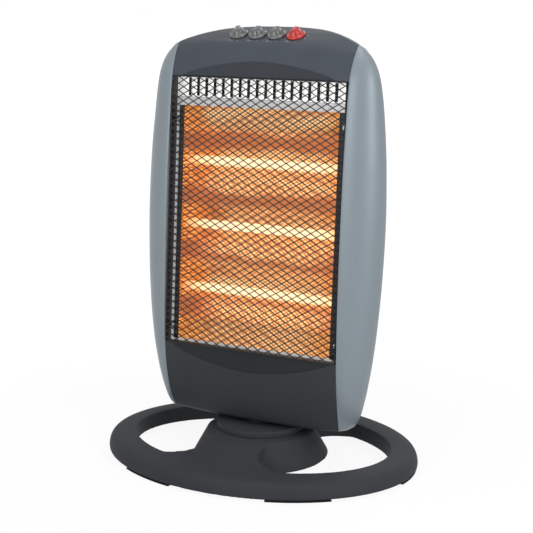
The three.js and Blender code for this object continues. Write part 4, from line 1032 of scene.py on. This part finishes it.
def dish(wall, name):
    """The oval form from the hub's edge out to the rim and down to the floor."""
    lengths = [0.0]
    for (a, b), (c, d) in zip(DISH, DISH[1:]):
        lengths.append(lengths[-1] + math.hypot((c - a) * DISH_REACH, d - b))
    share_at = smooth_curve(lengths, [share for share, _ in DISH])
    height_at = smooth_curve(lengths, [height for _, height in DISH])

    def place_at(u, v):
        way = lengths[-1] * v / DISH_RINGS
        share, height = share_at(way), height_at(way)
        angle = u / DISH_SIDES * 2 * math.pi
        inner = HUB_TOP - wall
        x, y = (inner + share * (half - wall - inner) for half in BASE_HALF)
        bottom = FOOT_HEIGHT - (1 if wall else 0)
        z = bottom if v == DISH_RINGS else max(height - wall, FOOT_HEIGHT)
        return (x * math.cos(angle), y * math.sin(angle), z)

    return rolled(name, DISH_SIDES, DISH_RINGS, place_at)


def bend(start, corner, end, steps=8):
    """Points of a curve from start that leans towards a corner, without its end."""
    for i in range(steps):
        t = i / steps
        ways = zip(start, corner, end)
        yield tuple((1 - t) ** 2 * p + 2 * t * (1 - t) * q + t * t * r for p, q, r in ways)


def window_outline(side, margin):
    """Plan of one window, grown by a margin: half of it from the oval to the hub, then mirrored."""
    half_x, half_y = BASE_HALF[0] - RIM_SIDE + margin, BASE_HALF[1] - RIM_FRONT + margin
    waist, shoulder = WAIST_HALF - margin, HUB_SHOULDER - margin
    end = math.acos(CORNER_X / half_x)
    half = [(half_x * math.cos(end * i / 24), half_y * math.sin(end * i / 24)) for i in range(24)]
    half += bend((CORNER_X, half_y * math.sin(end)), (waist, CORNER_Y + margin), (waist, WAIST_Y), 12)
    neck = (shoulder * math.cos(NECK_ANGLE), shoulder * math.sin(NECK_ANGLE))
    half += bend((waist, WAIST_Y), (waist, NECK_Y), neck)
    around = [NECK_ANGLE * (1 - i / 12) for i in range(13)]
    half += [(shoulder * math.cos(a), shoulder * math.sin(a)) for a in around]
    return [(side * x, y) for x, y in half + [(x, -y) for x, y in half[-2:0:-1]]]


def base_form(wall, name):
    """The base's outside, or with a wall the hollow under it."""
    form = dish(wall, name)
    for side in (-1, 1):
        combine(form, prism(window_outline(side, wall), -REACH, REACH))
    level = wall * math.hypot(1, HUB_TAPER)
    bottom = FOOT_HEIGHT - (1 if wall else 0)
    top = SHOULDER_HEIGHT - wall
    bpy.ops.mesh.primitive_cone_add(
        vertices=HUB_SIDES, radius1=(HUB_FOOT - level) * MM,
        radius2=(HUB_SHOULDER - level + HUB_TAPER * wall) * MM,
        depth=(top - bottom) * MM, location=(0, 0, (top + bottom) / 2 * MM))
    return combine(form, place_in_mesh(bpy.context.object), "UNION")


# %% Base shell
BASE_SCREW_ANGLES = [math.pi / 2 + i * 2 * math.pi / 3 for i in range(3)]
BASE_SCREWS = [((BASE_HALF[0] - RIM_SIDE / 2) * math.cos(angle),
                (BASE_HALF[1] - RIM_FRONT / 2) * math.sin(angle)) for angle in BASE_SCREW_ANGLES]
VOXEL = 1.5
BOSS_RADIUS, BOSS_FOOT, PILOT_RADIUS, PILOT_TOP = 4.5, 3.9, 1.7, 12.6

shell = base_form(0, "base_moulding")
modify(shell, "REMESH", mode="VOXEL", voxel_size=VOXEL * MM, use_smooth_shade=True)
modify(shell, "SMOOTH", factor=0.5, iterations=8)
combine(shell, base_form(BASE_WALL, "under_base"))
combine(shell, rod(POST_HOLE, (0, 0, -10), (0, 0, 60), 48))
for x, y in BASE_SCREWS:
    boss = rod(BOSS_RADIUS, (x, y, BOSS_FOOT), (x, y, RIM_HEIGHT - 2), 24)
    combine(boss, rod(PILOT_RADIUS, (x, y, 0), (x, y, PILOT_TOP), 16))
    combine(shell, boss, "UNION")
settle(smooth(shell, 40), "base_shell")

# %% [markdown]
# The guard is expanded metal: a sheet slit and pulled open into diamonds. A square grid turned by
# an eighth of a turn and squeezed to the diamond's two diagonals is that pattern. Insetting every
# face by half a strand and deleting the middles leaves the strands, and the thickness comes last.

# %% Guard
GUARD_HALF, GUARD_FRONT, GUARD_REAR = 102.0, -39.5, -28.8
GUARD_LOW, GUARD_HIGH = 118.3, 404.7
DIAMOND = (12.5, 7.3)
STRAND, GUARD_SHEET, RIM_WALL = 0.95, 0.8, 1.2
GRID_CELLS = 64

bpy.ops.mesh.primitive_grid_add(x_subdivisions=GRID_CELLS, y_subdivisions=GRID_CELLS,
                                size=GRID_CELLS)
net = bpy.context.object
net.name = "expanded_metal"
net.rotation_euler.z = math.pi / 4
place_in_mesh(net)
net.scale = (DIAMOND[0] * MM / math.sqrt(2), DIAMOND[1] * MM / math.sqrt(2), 1)
net.rotation_euler.x = math.pi / 2
middle_height = (GUARD_LOW + GUARD_HIGH) / 2
net.location = Vector((0, GUARD_FRONT + 0.1, middle_height)) * MM
place_in_mesh(net)
edit(net)
bpy.ops.mesh.select_mode(type="FACE")
bpy.ops.mesh.inset(thickness=STRAND / 2 * MM, use_individual=True)
bpy.ops.mesh.delete(type="FACE")
edges = [((x * (GUARD_HALF - 0.6), 0, 0), (x, 0, 0)) for x in (-1, 1)]
edges += [((0, 0, GUARD_LOW + 0.6), (0, 0, -1)), ((0, 0, GUARD_HIGH - 0.6), (0, 0, 1))]
for place_on, way in edges:
    bpy.ops.mesh.select_all(action="SELECT")
    bpy.ops.mesh.bisect(plane_co=Vector(place_on) * MM, plane_no=way, clear_outer=True)
bpy.ops.mesh.select_all(action="SELECT")
bpy.ops.mesh.delete_loose(use_verts=True, use_edges=True, use_faces=False)
bpy.ops.mesh.normals_make_consistent(inside=False)
close()
modify(net, "SOLIDIFY", thickness=GUARD_SHEET * MM, offset=0.0)
net_lift = GUARD_FRONT + 0.05 - min(vertex.co.y for vertex in net.data.vertices) / MM
net.location.y = net_lift * MM
place_in_mesh(net)

rim = slab((-GUARD_HALF, GUARD_FRONT, GUARD_LOW), (GUARD_HALF, GUARD_REAR, GUARD_HIGH), "guard_rim")
combine(rim, slab((RIM_WALL - GUARD_HALF, -REACH, GUARD_LOW + RIM_WALL),
                  (GUARD_HALF - RIM_WALL, REACH, GUARD_HIGH - RIM_WALL)))
round_edges(rim, 0.5)
settle(join([rim, net], "guard_mesh"), "guard", lean=True)

# %% [markdown]
# The tray is pressed from one bright sheet into three parabolic troughs, with a flat flange all
# round and a plate that closes each side. In the source each trough has eight flats, but here it
# has twenty-eight, because a mirror shows every flat.

# %% Reflector
TRAY_FLANGE, SHEET = 5.0, 1.0
TRAY_FRONT, TROUGH_FRONT, TROUGH_DEPTH, TROUGH_SHEET = -27.5, -16.0, 26.0, 1.3
VENT_BOTTOM = 382.9
TROUGH_FLATS = 28
TUBE_HOLE, BAR_SCREW_HOLE = 5.3, 1.5
BAR_INSET, BAR_WIDTH, BAR_SCREW_INSET, EAR_INSET = 2.0, 5.0, 15.0, 1.2

line = [(TRAY_FRONT, LIPS[0])]
for tube_height in TUBE_HEIGHTS:
    for i in range(TROUGH_FLATS + 1):
        share = 2 * i / TROUGH_FLATS - 1
        depth = TROUGH_DEPTH * (1 - share * share)
        line.append((TROUGH_FRONT + depth, tube_height + share * TUBE_PITCH / 2))
    if tube_height != TUBE_HEIGHTS[-1]:
        line.pop()
line.append((TRAY_FRONT, LIPS[1]))
back = [(y + TROUGH_SHEET, z) for y, z in reversed(line)]
tray = prism(line + back, -TRAY_HALF - 0.1, TRAY_HALF + 0.1, "X", "bright_tray")
flange_half = TRAY_HALF + TRAY_FLANGE
flange = slab((-flange_half, TRAY_FRONT - SHEET, OPENING[0] + GAP + 0.5),
              (flange_half, TRAY_FRONT + 0.2, VENT_BOTTOM - GAP))
combine(flange, slab((-TRAY_HALF, -REACH, LIPS[0]), (TRAY_HALF, REACH, LIPS[1])))
combine(tray, flange, "UNION")
tray_back = TROUGH_FRONT + TROUGH_DEPTH + TROUGH_SHEET
for low, high in ((-TRAY_HALF - SHEET, -TRAY_HALF), (TRAY_HALF, TRAY_HALF + SHEET)):
    combine(tray, slab((low, TRAY_FRONT - SHEET, LIPS[0] - 1), (high, tray_back, LIPS[1] + 1)), "UNION")
for tube_height in TUBE_HEIGHTS:
    combine(tray, rod(TUBE_HOLE, (-REACH, TUBE_Y, tube_height), (REACH, TUBE_Y, tube_height)))
bar_screw_x = TRAY_HALF - BAR_INSET + BAR_WIDTH / 2 + EAR_INSET
for x in (-bar_screw_x, bar_screw_x):
    for height in (LIPS[0] + BAR_SCREW_INSET, LIPS[1] - BAR_SCREW_INSET):
        combine(tray, rod(BAR_SCREW_HOLE, (x, -REACH, height), (x, REACH, height), 16))
settle(smooth(tray, 30), "reflector", lean=True)

# %% [markdown]
# Inside each quartz tube lies a wire wound into a long fine coil. The Screw modifier turns a tiny
# circle about the tube's axis and moves it on with each turn, as a winding machine does.

# %% Quartz tubes and their coils
TUBE_RADIUS, TUBE_WALL, TUBE_HALF_LENGTH = 5.0, 1.0, 100.7
COIL_RADIUS, WIRE_RADIUS, COIL_PITCH, COIL_HALF = 1.5, 0.35, 2.2, 103.4
WIRE_SIDES, TURN_STEPS = 6, 14

for number, tube_height in enumerate(TUBE_HEIGHTS, 1):
    start, end = (-TUBE_HALF_LENGTH, TUBE_Y, tube_height), (TUBE_HALF_LENGTH, TUBE_Y, tube_height)
    tube = rod(TUBE_RADIUS, start, end, 48, f"quartz_{number}")
    beyond = Vector((1, 0, 0))
    combine(tube, rod(TUBE_RADIUS - TUBE_WALL, Vector(start) - beyond, Vector(end) + beyond, 48))
    settle(smooth(tube, 40), f"quartz_tube_{number}", lean=True)

    bpy.ops.mesh.primitive_circle_add(vertices=WIRE_SIDES, radius=WIRE_RADIUS * MM,
                                      location=Vector((-COIL_HALF, 0, COIL_RADIUS)) * MM,
                                      rotation=(math.pi / 2, 0, 0))
    coil = bpy.context.object
    coil.name = f"coil_{number}"
    place_in_mesh(coil)
    turns = int(2 * COIL_HALF / COIL_PITCH)
    modify(coil, "SCREW", axis="X", angle=2 * math.pi, screw_offset=COIL_PITCH * MM,
           iterations=turns, steps=TURN_STEPS, render_steps=TURN_STEPS, use_smooth_shade=True)
    edit(coil)
    seal()
    coil.location = Vector((0, TUBE_Y, tube_height)) * MM
    place_in_mesh(coil)
    settle(coil, f"filament_{number}", lean=True)

# %% [markdown]
# Each knob is a low skirt with a cone in its middle and a grip across it. All are made upright on
# the origin, tilted onto the deck, and set on their shafts. The first one is turned a little.

# %% Knobs
KNOB_SKIRT_PROFILE = [(2.8, -9), (2.8, 0.3), (9.7, 0.3), (10, 0.7), (10, 1.5), (9.3, 2.6), (8.6, 2.9),
                      (8.3, 2.4), (7.8, 2.4), (7.5, 3.2), (6.7, 3.4), (6.4, 2.9), (6.1, 2.9),
                      (5.8, 4.6), (5.2, 6.6), (4.4, 7.3), (0.5, 7.5)]
GRIP_SIDE_VIEW = [(-8.3, 1.2), (8.3, 1.2), (6.9, 6.4), (4.9, 8.6), (-3.6, 8.6), (-6.3, 6.0)]
GRIP_HALF = 2.2
FIRST_KNOB_TURN = math.radians(26)


def lathe(profile, name, sides=64):
    """A closed turned form about Z, from its radii and heights."""
    def place_at(u, v):
        angle = u / sides * 2 * math.pi
        radius, height = profile[v]
        return (radius * math.cos(angle), radius * math.sin(angle), height)

    return rolled(name, sides, len(profile) - 1, place_at)


def onto_deck(piece, spot, turn=0.0):
    """Tilts a piece made about the origin and sets it on the deck."""
    piece.matrix_world = (Matrix.Translation(spot * MM) @ Matrix.Rotation(DECK_TILT, 4, "X")
                          @ Matrix.Rotation(turn, 4, "Z"))
    return place_in_mesh(piece)


for number, spot in enumerate(knob_places(), 1):
    knob = lathe(KNOB_SKIRT_PROFILE, f"control_{number}")
    combine(knob, prism(GRIP_SIDE_VIEW, -GRIP_HALF, GRIP_HALF, "X"), "UNION")
    round_edges(knob, 0.25)
    onto_deck(knob, spot, FIRST_KNOB_TURN if number == 1 else 0.0)
    settle(knob, f"knob_{number}", lean=True)

# %% Marks on the deck
MARK_HEIGHT, MARK_THICKNESS, MARK_BELOW = 3.0, 0.06, 12.6
MARKS = [("0", -5.0, MARK_HEIGHT), ("1", 4.6, MARK_HEIGHT), ("-", -1.2, MARK_HEIGHT * 1.5)]
LAST_MARKS = [("1", 13.4, 1.5, -math.pi / 2), ("0", 12.4, -5.0, 0.0)]


def deck_mark(text, spot, right, up, height, turn=0.0):
    """One raised character on the deck, placed from a knob's axis."""
    bpy.ops.object.text_add()
    mark = bpy.context.object
    mark.data.body = text
    mark.data.size = height * 1.4 * MM
    mark.data.align_x, mark.data.align_y = "CENTER", "CENTER"
    mark.data.extrude = MARK_THICKNESS / 2 * MM
    bpy.ops.object.convert(target="MESH")
    mark.location = Vector((right, up, MARK_THICKNESS / 2)) * MM
    mark.rotation_euler.z = turn
    return onto_deck(place_in_mesh(mark), spot)


marks = [deck_mark(text, spot, right, -MARK_BELOW, height)
         for spot in knob_places() for text, right, height in MARKS]
marks += [deck_mark(text, knob_places()[-1], right, up, MARK_HEIGHT, turn)
          for text, right, up, turn in LAST_MARKS]
settle(join(marks, "deck_marks"), body=BODY_OF["upper_housing"], slot="slate_plastic", lean=True,
       finish="pale_print")

# %% [markdown]
# What is left are small fittings whose solids in the frame already have the right form. Each is
# copied, its faces are joined, and its edges get the radius that the real part would have. The
# screws also get a cross recess.

# %% Small fittings
EDGE_RADIUS = {
    "base_bottom_plate": 0.2, "tip_switch_housing": 0.6, "tip_plunger": 0.5, "swivel_post": 0.6,
    "oscillation_yoke": 0.4, "crank_disc": 0.4, "oscillation_motor": 0.8, "heat_shield": 0.3,
    "top_vent_plate": 0.25, "tube_holder_left": 0.5, "tube_holder_right": 0.5,
    "thermal_cutout": 0.5, "terminal_block": 0.6, "cable_gland": 0.6,
    **{f"foot_pad_{i}": 0.5 for i in range(1, 7)},
    **{f"rotary_switch_{i}": 0.6 for i in range(1, 5)},
    **{f"tube_cap_{side}_{i}": 0.5 for side in ("left", "right") for i in range(1, 4)},
}
SCREW_RADIUS = 0.15
PLATES = ("top_vent_plate", "heat_shield", "base_bottom_plate")
SCREWS = {
    **{f"base_screw_{i}": ((0, 0, -1), 3.6) for i in range(1, 4)},
    **{f"holder_screw_{i}": (-axis_up.cross(Vector((1, 0, 0))), 3.0) for i in range(1, 5)},
    **{f"rear_screw_{i}": (axis_up.cross(Vector((1, 0, 0))), 3.8) for i in range(1, 5)},
}


def cross_recess(piece, way, size):
    """Cuts a cross into the end of a screw that faces along way."""
    way = Vector(way).normalized()
    corners = [vertex.co.copy() for vertex in piece.data.vertices]
    reach = max(corner.dot(way) for corner in corners)
    cap = [corner for corner in corners if corner.dot(way) > reach - 0.05 * MM]
    centre = sum(cap, Vector()) / len(cap)
    facing = Matrix.Translation(centre) @ way.to_track_quat("Z", "Y").to_matrix().to_4x4()
    for turn in (0, math.pi / 2):
        bar = slab((-size / 2, -size / 8, -size / 5), (size / 2, size / 8, size))
        bar.matrix_world = facing @ Matrix.Rotation(turn, 4, "Z")
        combine(piece, place_in_mesh(bar))
    return piece


# The top vent plate takes the sheet whose whiteness and glow are painted light.
for node_name, width in EDGE_RADIUS.items():
    settle(refined(node_name, width, join_flats=node_name not in PLATES), node_name,
           finish="glow_painted_sheet" if node_name == "top_vent_plate" else None)
for node_name, (way, size) in SCREWS.items():
    settle(cross_recess(refined(node_name, SCREW_RADIUS), way, size), node_name)
